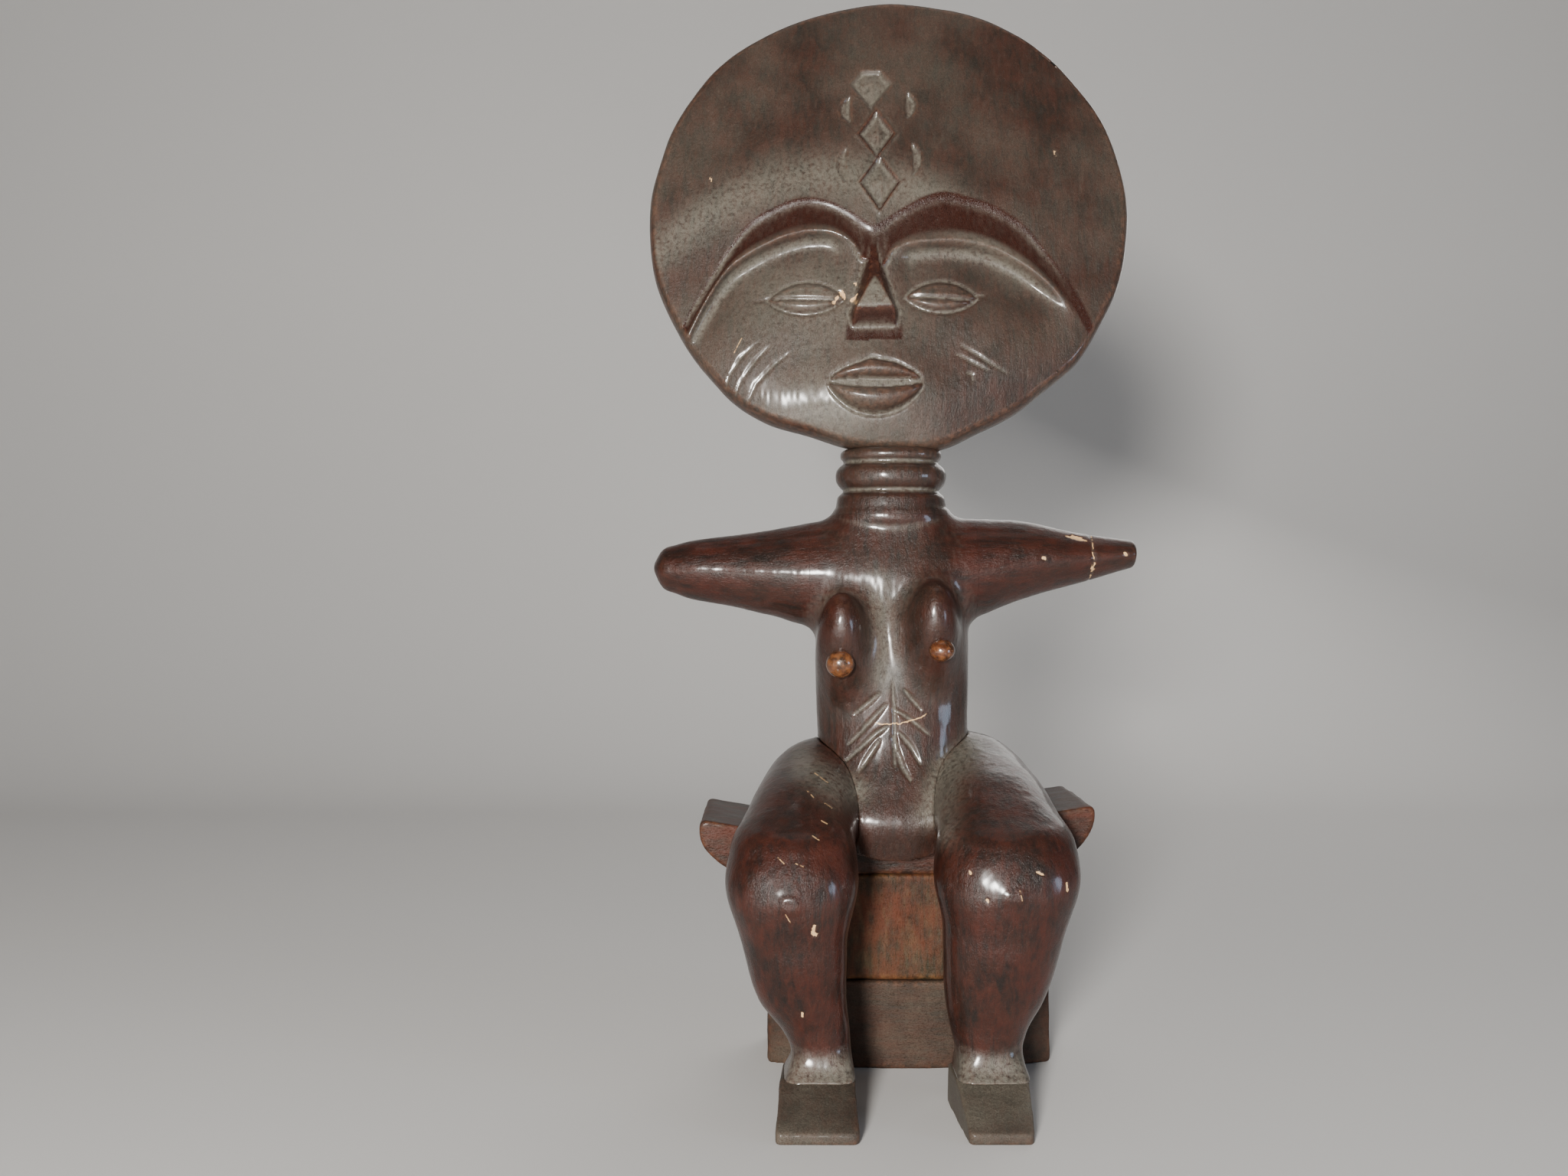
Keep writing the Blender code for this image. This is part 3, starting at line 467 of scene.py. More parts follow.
CHEEK_SCARS = (((-41.0, -43.5), (-46.8, -48.4), (-50.3, -54.0), (-51.6, -58.6)),
               ((-37.5, -44.7), (-42.1, -49.4), (-46.6, -55.4), (-49.1, -61.6)),
               ((-31.6, -47.2), (-36.6, -51.0), (-42.1, -56.8), (-45.6, -64.0)),
               ((19.8, -44.7), (25.0, -47.8), (29.6, -50.8), (36.0, -54.4)),
               ((18.8, -47.7), (24.0, -50.6), (29.2, -53.3)),
               ((22.0, -53.6), (24.2, -54.4), (24.0, -57.4)))


def curve_at(points, x):
    """Smooth single-valued curve through points, read at x."""
    return np.asarray(through(points)(x)[0], dtype=float)


def dome(s, t):
    """The face side of the plain lens, fuller towards the chin."""
    r = np.sqrt((s / HEAD_A) ** 2 + (t / HEAD_B) ** 2)
    power = 2.0 + 2.6 * step(-18.0, -62.0, t)
    return 4.4 + 7.6 * (1 - np.clip(r, 0, 1) ** power)


def lozenge(s, t, cx, cy, a, b):
    return np.abs(s - cx) / a + np.abs(t - cy) / b


def face_height(s, t):
    """Height of the carved face over the disc's middle plane, a mask of dusty spots and painted sheen, and a
    mask of painted shade on glossier wood free of film.
    """
    h = dome(s, t)
    t = t - FACE_Y
    dust_and_sheen = np.zeros_like(h)
    shade_and_bare = np.zeros_like(h)
    h = h + 1.3 * np.exp(-((t - 3.0) / 14.0) ** 2) * step(72.0, 34.0, np.abs(s - FACE_X))

    # brows: a crisp border under the forehead, a band that rises to a rounded ridge, and a hollow below it
    for side, (outer, inner) in BROW.items():
        t_out, t_in = curve_at(outer, s), curve_at(inner, s)
        t_in = np.minimum(t_in, t_out - 1.2)
        half = step(-0.5, 0.5, side * (s - FACE_X + 0.4))
        reach = np.abs(s - FACE_X)
        fade = half * step(64.0, 48.0, reach)
        band = np.clip((t_out - t) / (t_out - t_in), 0, 1)
        below = np.clip(t_in - t, 0, None)
        sunk = 0.55
        ridge = 1.15 + 0.5 * step(14.0, 30.0, reach)
        shelf = -sunk * step(0.0, 0.24, band) * (1 - 0.25 * band) + (ridge + 0.75 * sunk) * band ** 1.7
        hollow = 2.7 * (1 - np.exp(-(below / 2.6) ** 2)) * np.exp(-(below / 15.0) ** 2)
        under = ridge * np.exp(-(below / 1.5) ** 2) - hollow
        h = h + fade * np.where(t > t_in, np.where(t < t_out, shelf, 0.0), under * step(5.0, 13.0, reach))
        # painted shade: the band below the brow border, short of the ridge, is painted darker and glossier
        shade_and_bare = np.maximum(shade_and_bare, half * step(0.7, -0.1, t - t_out) * (t > t_in) * step(0.94, 0.72, band))

    # cheeks and the swelling round the mouth
    h = h + 1.5 * np.exp(-(((s - FACE_X) / 20.0) ** 2 + ((t + 60.0) / 12.0) ** 2))
    h = h - 0.8 * np.exp(-(((np.abs(s - FACE_X) - 24.0) / 9.0) ** 2 + ((t + 50.0) / 9.0) ** 2))

    # eyes: raised almonds with a fine upper lid, a slit and a crease below, the crease and the slit darkened
    # with painted shade
    for cx, cy, half, up, down in ((-26.6, -30.6, 11.8, 5.6, 4.6), (14.9, -30.2, 11.2, 5.4, 4.6)):
        u = (s - cx) / half
        lens = np.clip(1 - u * u, 0, 1)
        tall = np.where(t > cy, up, down) * lens ** 0.85 + 1e-3
        e = np.abs(t - cy) / tall
        inside = (np.abs(u) < 1) & (e < 1)
        h = h + np.where(inside, 1.5 * np.sqrt(np.clip(1 - e * e, 0, 1)) * lens ** 0.4, 0.0)
        gap = np.abs(np.abs(t - cy) - tall)
        ring = np.exp(-(gap / 0.7) ** 2) * step(1.12, 0.96, np.abs(u)) * np.where(t > cy, 0.45, 0.85)
        lid = np.exp(-((t - cy - 0.62 * up * lens) / 0.42) ** 2) * step(0.8, 0.5, np.abs(u))
        lower = np.exp(-((t - cy + 0.52 * down * lens) / 0.55) ** 2) * step(0.7, 0.4, np.abs(u))
        slit = np.exp(-((t - cy + 0.3 + 0.6 * u) / 0.55) ** 2) * step(0.98, 0.84, np.abs(u))
        h = h - 0.85 * ring + 0.26 * lid + 0.22 * lower - 0.9 * slit
        shade_and_bare = np.maximum(shade_and_bare, np.maximum(ring, slit * 0.9))
    # painted shade: a thin dark groove runs out from each eye's outer corner
    tail = (np.exp(-((t + 30.2 - 0.10 * (s + 38.9)) / 0.8) ** 2)
            * step(-44.5, -41.0, s) * step(-36.0, -38.5, s))
    tail = tail + (np.exp(-((t + 29.4 - 0.16 * (s - 25.0)) / 0.7) ** 2)
                   * step(30.0, 27.0, s) * step(23.5, 25.5, s))
    h = h - 0.35 * tail
    shade_and_bare = np.maximum(shade_and_bare, tail * 0.8)

    # nose: a flat-topped wedge, a tip facet that faces forward and a sloping underside
    rows = ((-44.0, 8.8, -4.0), (-42.6, 8.8, -1.2), (-41.2, 8.7, 0.6), (-35.8, 8.2, 7.2), (-34.6, 7.8, 7.9),
            (-32.0, 7.2, 7.8), (-28.0, 6.3, 7.0), (-26.0, 5.9, 6.2), (-20.0, 4.5, 3.9), (-12.0, 2.7, 1.4),
            (-7.5, 1.6, -0.2), (-4.0, 1.0, -2.5))
    half, rise = (np.interp(t, [r[0] for r in rows], [r[k] for r in rows]) for k in (1, 2))
    across = np.abs(s - FACE_X)
    sharp = np.interp(t, (-41.0, -34.5, -31.0, -24.0, -8.0), (0.22, 0.30, 0.50, 0.72, 0.80))
    flank = np.clip((half - across) / (half * sharp), 0, 1)
    base = 4.4 + 7.6 * (1 - (t / HEAD_B) ** 2 * 0.8) - 1.7
    wedge = base + rise * flank - 3.5 * np.clip((across - half) / 1.2, 0, 3)
    inside = (t < -4.0) & (t > -44.0)
    h = np.where(inside, np.asarray(smooth_max(h, wedge, 0.45)), h)
    on_nose = step(half + 0.4, half - 0.6, across) * inside
    facet = step(0.5, -0.5, across - 0.55 * (-25.0 - t)) * (t < -25.0) * (t > -35.0)
    # painted shade darkens the nose's top and flanks; painted highlight brightens the forward-facing tip
    # facet
    shade_and_bare = np.maximum(shade_and_bare, on_nose * (1 - facet) * step(-5.0, -9.0, t))
    dust_and_sheen = np.maximum(dust_and_sheen, facet * on_nose * 0.9)

    # lips: two pillows round a dark opening
    u = np.clip((s + 5.5) / 14.6, -1, 1)
    bow = 1 - u * u
    peaks = 0.9 * np.exp(-((s + 6.9) / 3.0) ** 2) + 0.4 * np.exp(-((s + 0.5) / 3.0) ** 2)
    top = -57.2 + bow ** 0.8 * (6.2 + peaks)
    bottom = -57.2 - bow ** 0.75 * 9.0
    open_up, open_down = -56.4 + bow * 0.9, -57.6 - bow * 1.5
    near = np.abs(s + 5.5) < 14.6
    e_up = (t - (top + open_up) / 2) / ((top - open_up) / 2 + 1e-3)
    e_down = (t - (bottom + open_down) / 2) / ((open_down - bottom) / 2 + 1e-3)
    pillow = 2.5 * np.sqrt(np.clip(1 - e_up ** 2, 0, 1)) + 3.5 * np.sqrt(np.clip(1 - e_down ** 2, 0, 1))
    pillow = pillow * bow ** 0.45
    h = h + np.where(near, pillow, 0)
    mouth = near & (t < open_up) & (t > open_down)
    h = h - np.where(mouth, 1.1 * bow, 0)
    outline = np.exp(-((t - top - 0.5) / 0.8) ** 2) + np.exp(-((t - bottom + 0.6) / 0.9) ** 2)
    h = h - np.where(near, 0.6 * outline * bow ** 0.3, 0)
    shade_and_bare = np.maximum(shade_and_bare, np.where(near & (t < top) & (t > bottom - 1.0), 0.45, 0))

    # forehead scars: shallow cuts with sharp borders
    for cx, cy, a, b, deep in ((-4.5, 23.4, 5.3, 8.0, 0.85), (-3.8, 6.4, 6.0, 9.0, 0.85)):
        inside = np.clip(1 - lozenge(s, t, cx, cy, a, b), 0, 1)
        rib = np.exp(-((s - cx - 0.6) / 0.7) ** 2)
        h = h - 1.6 * deep * np.clip(inside * 4.0, 0, 1) + 1.3 * inside
        h = h + 0.3 * rib * np.clip(inside * 3, 0, 1)
        h = h + 0.35 * np.exp(-((lozenge(s, t, cx, cy, a, b) - 1.12) / 0.10) ** 2)
        dust_and_sheen = np.maximum(dust_and_sheen, 0.5 * np.clip(inside * 5, 0, 1))
        # painted shade: the border of each lozenge cut is painted dark
        shade_and_bare = np.maximum(shade_and_bare, np.exp(-((lozenge(s, t, cx, cy, a, b) - 1.0) / 0.09) ** 2))
    pennant = np.minimum(np.clip(1 - lozenge(s, t, -6.0, 41.0, 7.0, 9.4), 0, 1),
                         np.clip((46.0 - t) / 5.0, 0, 1))
    h = h - 1.5 * np.clip(pennant * 4.0, 0, 1) + 1.3 * pennant
    dust_and_sheen = np.maximum(dust_and_sheen, 0.6 * np.clip(pennant * 5, 0, 1))
    for cx, cy, a, b, bend in ((-14.2, 32.0, 1.7, 4.8, 0.08), (6.4, 33.4, 1.8, 4.8, -0.05),
                               (-15.6, 12.6, 1.4, 6.4, 0.05), (8.0, 14.4, 1.5, 6.0, -0.05)):
        centre = cx + bend * (t - cy) ** 2
        inside = np.clip(1 - (np.abs(s - centre) / a) ** 1.3 - (np.abs(t - cy) / b) ** 2, 0, 1)
        h = h - 0.9 * np.clip(inside * 2.5, 0, 1)
        dust_and_sheen = np.maximum(dust_and_sheen, 0.4 * np.clip(inside * 4, 0, 1))
        # painted shade: the left side of each small cut is painted darker
        shade_and_bare = np.maximum(shade_and_bare, 0.9 * np.clip(inside * 4, 0, 1) * (s < centre))

    # painted sheen: pale patches on the lower forehead, round the eye on the left and on the chin, where the
    # satin face would catch the light
    wear_and_sheen = 0.75 * np.exp(-((t - 9.0 + 0.008 * (s + 20.0) ** 2) / 8.5) ** 2) * step(60.0, 20.0, s)
    wear_and_sheen = wear_and_sheen + 0.55 * np.exp(-((s + 22.0) / 30.0) ** 2 - ((t + 32.0) / 20.0) ** 2)
    wear_and_sheen = wear_and_sheen + 0.8 * np.exp(-((s + 20.0) / 20.0) ** 2 - ((t + 64.0) / 9.0) ** 2)
    dust_and_sheen = np.maximum(dust_and_sheen, np.clip(wear_and_sheen, 0, 0.8) * (1 - shade_and_bare))
    return h, dust_and_sheen, shade_and_bare


# How far the hand-cut outline of the disc lies from a true oval, by angle in degrees.
OUTLINE = (
    (-180, 1.006), (-165, 1.012), (-150, 1.008), (-139, 1.010), (-130, 1.022), (-120, 1.008), (-111, 0.990),
    (-101, 0.996), (-90, 1.000), (-78, 1.002), (-70, 0.984), (-60, 0.974), (-50, 0.970), (-38, 0.982),
    (-28, 0.980), (-18, 0.986), (-6, 0.992), (8, 1.000), (24, 1.008), (40, 1.012), (54, 1.018), (66, 1.010),
    (80, 1.002), (95, 0.994), (110, 0.986), (122, 0.994), (136, 1.004), (150, 1.004), (165, 1.002),
    (180, 1.006))


def head_clay():
    """Front on a grid bent to the disc's outline, then rings over the rim and across the back."""
    spread = lambda n, edge: np.interp(np.linspace(0, 1, n), (0.0, 0.06, 0.94, 1.0), (-1.0, -edge, edge, 1.0))
    nx, ny = int(278 / COARSE), int(262 / COARSE)
    u, v = np.meshgrid(spread(nx, 0.90), spread(ny, 0.90), indexing="ij")
    edge = 0.972
    s = HEAD_A * edge * u * np.sqrt(1 - v * v / 2)
    t = HEAD_B * edge * v * np.sqrt(1 - u * u / 2)
    s, t = s.ravel(), t.ravel()
    h, dust_and_sheen, shade_and_bare = face_height(s, t)
    index = np.arange(nx * ny).reshape(nx, ny)
    quads = np.stack([index[:-1, :-1], index[1:, :-1], index[1:, 1:], index[:-1, 1:]], axis=-1).reshape(-1, 4)
    border = np.concatenate([index[:, 0], index[-1, 1:], index[-2::-1, -1], index[0, -2:0:-1]])
    rings = [border]
    points = [np.stack([s, t, h], axis=1)]
    bs, bt, bh = s[border], t[border], h[border]
    total = nx * ny
    profile = ((0.984, 0.90), (0.993, 0.66), (0.999, 0.30), (1.0, -0.10), (0.998, -0.45), (0.991, -0.78),
               (0.980, -0.97))
    for scale, level in profile:
        height = bh * level if level > 0 else np.full(len(border), 4.4 * level)
        points.append(np.stack([bs * scale / edge, bt * scale / edge, height], axis=1))
        rings.append(np.arange(total, total + len(border)))
        total += len(border)
    for scale in np.linspace(0.955, 0.02, int(34 / COARSE)):
        r = np.full(len(border), scale)
        points.append(np.stack([bs * scale / edge, bt * scale / edge, -4.4 - 4.6 * (1 - r * r)], axis=1))
        rings.append(np.arange(total, total + len(border)))
        total += len(border)
    strips = []
    for a, b in zip(rings, rings[1:]):
        strips.append(np.stack([a, b, np.roll(b, -1), np.roll(a, -1)], axis=-1))
    last = rings[-1]
    half = np.arange(len(last) // 2 - 1)
    strips.append(np.stack([last[half], last[-1 - half], last[-2 - half], last[half + 1]], axis=-1))
    q = np.concatenate(points)
    angle = np.arctan2(q[:, 1], q[:, 0])
    r = np.hypot(q[:, 0] / HEAD_A, q[:, 1] / HEAD_B)
    outline = curve_at(OUTLINE, np.degrees(angle)) - 1 + 0.0015 * np.sin(17 * angle)
    q[:, :2] *= (1 + outline * step(0.72, 1.0, r))[:, None]
    c, sn = math.cos(HEAD_TILT), math.sin(HEAD_TILT)
    world = np.stack([q[:, 0], q[:, 1] * sn - q[:, 2] * c, q[:, 1] * c + q[:, 2] * sn], axis=1) + HEAD_CENTRE
    clay = Clay(world, np.concatenate([quads] + strips))
    rest = np.zeros(len(q) - len(dust_and_sheen))
    clay.marks["dust_and_sheen"] = np.concatenate([dust_and_sheen, rest])
    clay.marks["shade_and_bare"] = np.concatenate([shade_and_bare, rest])
    return clay, q


def face_place(s, t):
    """A point of the face's surface in body millimetres."""
    t = t + FACE_Y
    h = float(face_height(np.array([s], dtype=float), np.array([t], dtype=float))[0][0])
    c, sn = math.cos(HEAD_TILT), math.sin(HEAD_TILT)
    return HEAD_CENTRE + (s, t * sn - h * c, t * c + h * sn)


# --- pieces ---
def make_head():
    clay, q = head_clay()
    for line in CHEEK_SCARS:
        clay.groove([face_place(*p) for p in line], 0.75, 0.42, dust_and_sheen=0.8)
    clay.knife(11, depth=0.10, size=(7.0, 7.0, 9.0))
    back = step(-2.0, -5.0, q[:, 2])
    clay.push(0.4 * back * (scallops(clay.p, (10.0, 10.0, 17.0), 17) - 0.5))
    clay.chips([([face_place(*p) for p in line], *size) for line, *size in (
        (((-17.0, -30.6), (-18.2, -31.8)), 0.75, 0.3), (((-15.9, -28.4), (-15.1, -30.2)), 0.9, 0.3),
        (((-11.4, -30.0), (-12.6, -31.4)), 0.8, 0.3), (((-11.6, -25.7), (-11.2, -26.4)), 0.55, 0.2, 0.8),
        (((51.5, 19.2), (51.8, 17.4)), 0.5, 0.1, 0.6), (((-56.6, 10.2), (-56.0, 8.8)), 0.5, 0.1, 0.6))], 1)
    clay.shade_creases(0.85)
    return clay.build("head_carved")


GROIN = (
    ((-27.5, 95.6), (-21.8, 92.4), (-17.2, 89.8), (-12.0, 87.6)),
    ((23.2, 100.7), (20.7, 97.7), (15.7, 94.6), (13.5, 91.0)), ((13.5, 91.0), (11.6, 87.1), (9.6, 81.4)))


def make_upper():
    """Neck, torso, shoulders and breasts in one skin, cut afterwards where the pieces join."""
    def field(x, y, z):
        legs = np.minimum(leg_field(x, y, z, RIGHT_THIGH, RIGHT_SHIN),
                          leg_field(x, y, z, LEFT_THIGH, LEFT_SHIN))
        trunk = smooth_min(torso_field(x, y, z), arms_field(x, y, z), 5.0)
        trunk = smooth_min(trunk, breasts_field(x, y, z), 8.0)
        neck = np.maximum(neck_field(x, y, z), 0.15 - head_shell(x, y, z))
        trunk = smooth_min(trunk, neck, 0.7)
        whole = smooth_min(trunk, legs, 1.6)
        whole = np.maximum(whole, trunk - legs + 0.06)
        return np.maximum(whole, 0.15 - seat_field(x, y, z))
    clay = Clay.sculpt(field, (-75, -34, 64), (77, 22, 198), 0.5)
    clay.relax(1)
    chevrons = (((2.3, 117.6), (8.0, 110.7)), ((-1.1, 111.8), (4.6, 108.4), (10.3, 103.6)),
                ((0.5, 105.0), (4.6, 100.4), (7.6, 94.7)), ((-1.1, 103.8), (1.9, 94.7), (4.6, 90.1)),
                ((-4.5, 116.4), (-12.6, 109.6)), ((-2.3, 113.4), (-14.4, 100.4)),
                ((-2.3, 106.6), (-5.7, 104.3), (-16.0, 94.7)), ((-4.5, 102.7), (-11.4, 92.4)),
                ((-0.9, 119.9), (-0.2, 107.0), (-0.4, 94.0)))
    for line in chevrons:
        clay.groove(line, 1.1, 0.65, dust_and_sheen=0.85, front=True)
    x, z = clay.p[:, 0], clay.p[:, 2]
    front = clay.p[:, 1] < -8.0
    # painted shade: the breasts, turned down and aside, are painted darker and glossier
    for cx, cz, a, b in ((-17.4, 133.4, 7.4, 14.0), (11.8, 136.8, 6.8, 12.6)):
        clay.mark("shade_and_bare", 0.5 * front * step(1.5, 0.6, np.hypot((x - cx) / a, (z - cz) / b)))
    # painted shade: the low belly between the thighs is painted darker and glossier
    clay.mark("shade_and_bare", 0.5 * front * step(88.0, 78.0, z) * step(17.0, 12.0, np.abs(x)))
    # painted sheen: a pale streak down the flat breastbone between the breasts
    clay.dust_and_sheen_streak([(-5.0, 149.0), (-3.4, 134.0), (-3.0, 121.0)], 4.2, 0.7)
    clay.knife(31, depth=0.13)
    clay.chips((([(55.6, 163.6), (58.0, 163.0)], 0.85, 0.3), ([(53.6, 163.8), (59.6, 162.4)], 0.3, 0.15),
                ([(45.6, 157.0), (46.2, 156.6)], 0.6, 0.2, 0.8),
                ([(71.6, 158.6), (72.0, 158.0)], 0.6, 0.2, 0.8)), 4, front=True)
    for line in GROIN:
        clay.dust_and_sheen_streak(line, 4.0, 1.0)
    dist = np.abs(clay.p[:, 0] - TIP_X - 0.5 * noise(clay.p, 3.0, 71))
    clay.push(-0.18 * step(0.8, 0.2, dist))
    clay.shade_creases()
    whole = clay.build("upper_body")
    joint, gap = 170.3, 0.02
    between = (0, -SHOULDER_X + gap, 1), (0, SHOULDER_X - gap, -1)
    pieces = {
        "neck": cut_off(whole, "neck_carved", (2, joint + gap, 1), *between),
        "torso": cut_off(whole, "torso_carved", (2, joint - gap, -1), *between),
        "right_arm": cut_off(whole, "right_arm_carved", (0, -SHOULDER_X - gap, -1)),
        "left_arm": cut_off(whole, "left_arm_carved", (0, SHOULDER_X + gap, 1), (0, TIP_X - gap, -1)),
        "left_arm_tip": cut_off(whole, "left_arm_tip_carved", (0, TIP_X + gap, 1))}
    bpy.data.objects.remove(whole)
    return pieces


def make_leg(name, thigh, shin, low, high, seed):
    def field(x, y, z):
        leg = leg_field(x, y, z, thigh, shin)
        trunk = torso_field(x, y, z)
        whole = smooth_min(leg, trunk, 1.6)
        whole = np.maximum(whole, leg - trunk + 0.06)
        whole = np.maximum(whole, np.where(x * math.copysign(1, low[0] + high[0]) < 0.1, 5.0, -50.0))
        return np.maximum(whole, 0.15 - seat_field(x, y, z))
    clay = Clay.sculpt(field, low, high, 0.52)
    clay.relax(1)
    clay.knife(seed, depth=0.16, size=(6.0, 6.0, 9.0))
    return clay


def make_legs():
    right = make_leg("right", RIGHT_THIGH, RIGHT_SHIN, (-50, -65, 11), (-2, 20, 104), 41)
    right.chips((([(-25.2, 56.6), (-25.8, 54.4), (-24.6, 54.2)], 0.5, 0.25),
                 ([(-28.4, 31.6), (-28.4, 30.8)], 0.5, 0.15)), 11, front=True)
    left = make_leg("left", LEFT_THIGH, LEFT_SHIN, (2, -65, 11), (50, 20, 108), 47)
    left.chips((([(43.4, 67.6), (43.7, 65.6)], 0.42, 0.25), ([(17.0, 71.0), (17.2, 70.4)], 0.38, 0.2),
                ([(21.2, 64.0), (21.4, 63.4)], 0.35, 0.2), ([(35.0, 71.0), (36.4, 70.4)], 0.38, 0.2)),
               13, front=True)
    for leg in (right, left):
        for line in GROIN:
            leg.dust_and_sheen_streak(line, 4.2, 1.0)
        leg.mark("dust_and_sheen", 0.9 * step(21.5, 15.5, leg.p[:, 2]) * step(-42.0, -50.0, leg.p[:, 1]))
        leg.shade_creases()
    return right.build("right_leg_carved"), left.build("left_leg_carved")


def make_foot(name, left, right, seed):
    clay = Clay.sculpt(lambda x, y, z: foot_field(x, y, z, left, right),
                       (min(left), -72, 0), (max(right), -35, 12.5), 0.45)
    clay.relax(1)
    keep = clay.p[:, 2] < 0.4
    flat = clay.p[keep, 2].copy()
    clay.knife(seed, depth=0.16, size=(6.0, 6.0, 6.0))
    clay.p[keep, 2] = flat
    clay.p[:, 2] = np.maximum(clay.p[:, 2], 0.0)
    clay.p[:, 2] = np.minimum(clay.p[:, 2], ANKLE_Z - 0.1)
    clay.shade_creases()
    return clay.build(name)


def make_peg(name, centre, radii, seed):
    """A short round knob that swells out of the breast."""
    def field(x, y, z):
        knob = ellipsoid(x, y, z, centre, radii, 20)
        return smooth_max(knob, y - (centre[1] + 3.0), 0.6)
    low = [c - 5.5 for c in centre]
    high = [c + 5.5 for c in centre]
    clay = Clay.sculpt(field, low, high, 0.26)
    clay.relax(1)
    clay.push(0.08 * noise(clay.p, 2.2, seed))
    # painted reflection: the knob is painted orange-brown nearly all over, the red a cloth would cast in its
    # glossy lacquer
    clay.mark("wear_and_reflection", np.full(len(clay.p), 0.9) * step(1.0, 3.4, np.linalg.norm(clay.p - centre, axis=1)))
    clay.shade_creases(0.5)
    return clay.build(name)


def make_seat():
    def field(x, y, z):
        """The seat with a piece cut out of the middle of its front edge."""
        notch = smooth_max(np.abs(x) - 19.0, y + 8.0, 1.5)
        return smooth_max(seat_field(x, y, z), -notch, 0.8)
    clay = Clay.sculpt(field, (-60, -26, 59), (60, 24, 86), 0.62)
    clay.relax(1)
    clay.knife(61, depth=0.28, size=(9.0, 7.0, 9.0))
    clay.shade_creases()
    return clay.build("seat_carved")


def block_field(x, y, z, low, high, bow=0.0):
    middle = (low[0] + high[0]) / 2
    half = (high[0] - low[0]) / 2
    front = low[1] + bow * ((x - middle) / half) ** 2
    d = smooth_max(np.abs(x - middle) - half, front - y, 1.0)
    d = smooth_max(d, y - high[1], 1.0)
    return smooth_max(d, np.abs(z - (low[2] + high[2]) / 2) - (high[2] - low[2]) / 2, 0.9)


def make_column():
    low_corner, high_corner = (-24.0, -6.0, 27.15), (27.0, 19.0, 60.3)

    def field(x, y, z):
        return np.maximum(block_field(x, y, z, low_corner, high_corner), 0.1 - seat_field(x, y, z))
    clay = Clay.sculpt(field, low_corner, high_corner, 0.7)
    clay.relax(1)
    clay.knife(67, depth=0.3, size=(7.0, 7.0, 12.0))
    clay.p[:, 2] = np.clip(clay.p[:, 2], 27.1, None)
    clay.shade_creases()
    return clay.build("column_carved")


def make_base():
    low_corner, high_corner = (-38.5, -7.0, 0.0), (49.5, 28.0, 27.0)
    clay = Clay.sculpt(lambda x, y, z: block_field(x, y, z, low_corner, high_corner, 7.0),
                       (low_corner[0], low_corner[1], 0.0), high_corner, 0.7)
    clay.relax(1)
    clay.groove([(15.2, -7.4, 17.0), (15.6, -7.4, 8.0), (15.2, -7.4, -1.0)], 0.8, 0.9, dust_and_sheen=0.0, taper=False)
    clay.knife(71, depth=0.32, size=(9.0, 9.0, 9.0))
    clay.p[:, 2] = np.clip(clay.p[:, 2], 0.0, 27.05)
    clay.shade_creases()
    return clay.build("base_carved")


# --- materials ---
class Nodes:
    """Short hand for a material's node tree."""

    def __init__(self, name):
        self.material = bpy.data.materials.new(name)
        self.material.use_nodes = True
        self.tree = self.material.node_tree
        self.shader = self.tree.nodes["Principled BSDF"]

    def add(self, kind, **values):
        node = self.tree.nodes.new(kind)
        inputs = values.pop("inputs", {})
        for key, value in values.items():
            setattr(node, key, value)
        for key, value in inputs.items():
            if isinstance(value, bpy.types.NodeSocket):
                self.tree.links.new(value, node.inputs[key])
            else:
                node.inputs[key].default_value = value
        return node

    def math(self, operation, a, b=0.0, clamp=False):
        node = self.add("ShaderNodeMath", operation=operation, use_clamp=clamp, inputs={0: a, 1: b})
        return node.outputs[0]

    def times(self, a, b):
        return self.math("MULTIPLY", a, b)

    def plus(self, a, b, clamp=False):
        return self.math("ADD", a, b, clamp)

    def minus(self, a, b):
        return self.math("SUBTRACT", a, b)

    def mix(self, factor, a, b, blend="MIX"):
        node = self.add("ShaderNodeMix", data_type="RGBA", blend_type=blend,
                        inputs={"Factor": factor, 6: a, 7: b})
        return node.outputs[2]

    def level(self, factor, a, b):
        """Plain numbers mixed by a factor."""
        node = self.add("ShaderNodeMix", data_type="FLOAT", inputs={0: factor, 2: a, 3: b})
        return node.outputs[0]

    def ramp(self, value, low, high):
        node = self.add("ShaderNodeMapRange", interpolation_type="SMOOTHSTEP",
                        inputs={"Value": value, "From Min": low, "From Max": high})
        return node.outputs["Result"]

    def noise(self, where, scale, detail=4.0, rough=0.55, distortion=0.0):
        node = self.add("ShaderNodeTexNoise", inputs={"Vector": where, "Scale": scale, "Detail": detail,
                                                      "Roughness": rough, "Distortion": distortion})
        return node.outputs["Fac"]

    def vector(self, operation, a, b, output=0):
        return self.add("ShaderNodeVectorMath", operation=operation, inputs={0: a, 1: b}).outputs[output]

    def mark(self, name):
        return self.add("ShaderNodeAttribute", attribute_name=name).outputs["Fac"]

    def place(self):
        """X, Y and Z in metres."""
        where = self.add("ShaderNodeTexCoord").outputs["Object"]
        return self.add("ShaderNodeSeparateXYZ", inputs={0: where}).outputs

    def stretched(self, grain=(1.0, 1.0, 1.0)):
        """Place in mm, shrunk along the grain."""
        where = self.add("ShaderNodeTexCoord").outputs["Object"]
        scale = [1000 * g for g in grain]
        return self.add("ShaderNodeMapping", inputs={"Vector": where, "Scale": scale}).outputs["Vector"]


DARK = (0.0056, 0.0030, 0.0024, 1)
BROWN = (0.020, 0.0066, 0.0038, 1)
RED = (0.050, 0.0090, 0.0042, 1)
DUST = (0.105, 0.093, 0.072, 1)
# pale grey of dusty hollows, also used for painted sheen
PALE_DUST_AND_SHEEN = (0.165, 0.155, 0.125, 1)
ARM_GRAIN = (0.16, 1.0, 1.0)


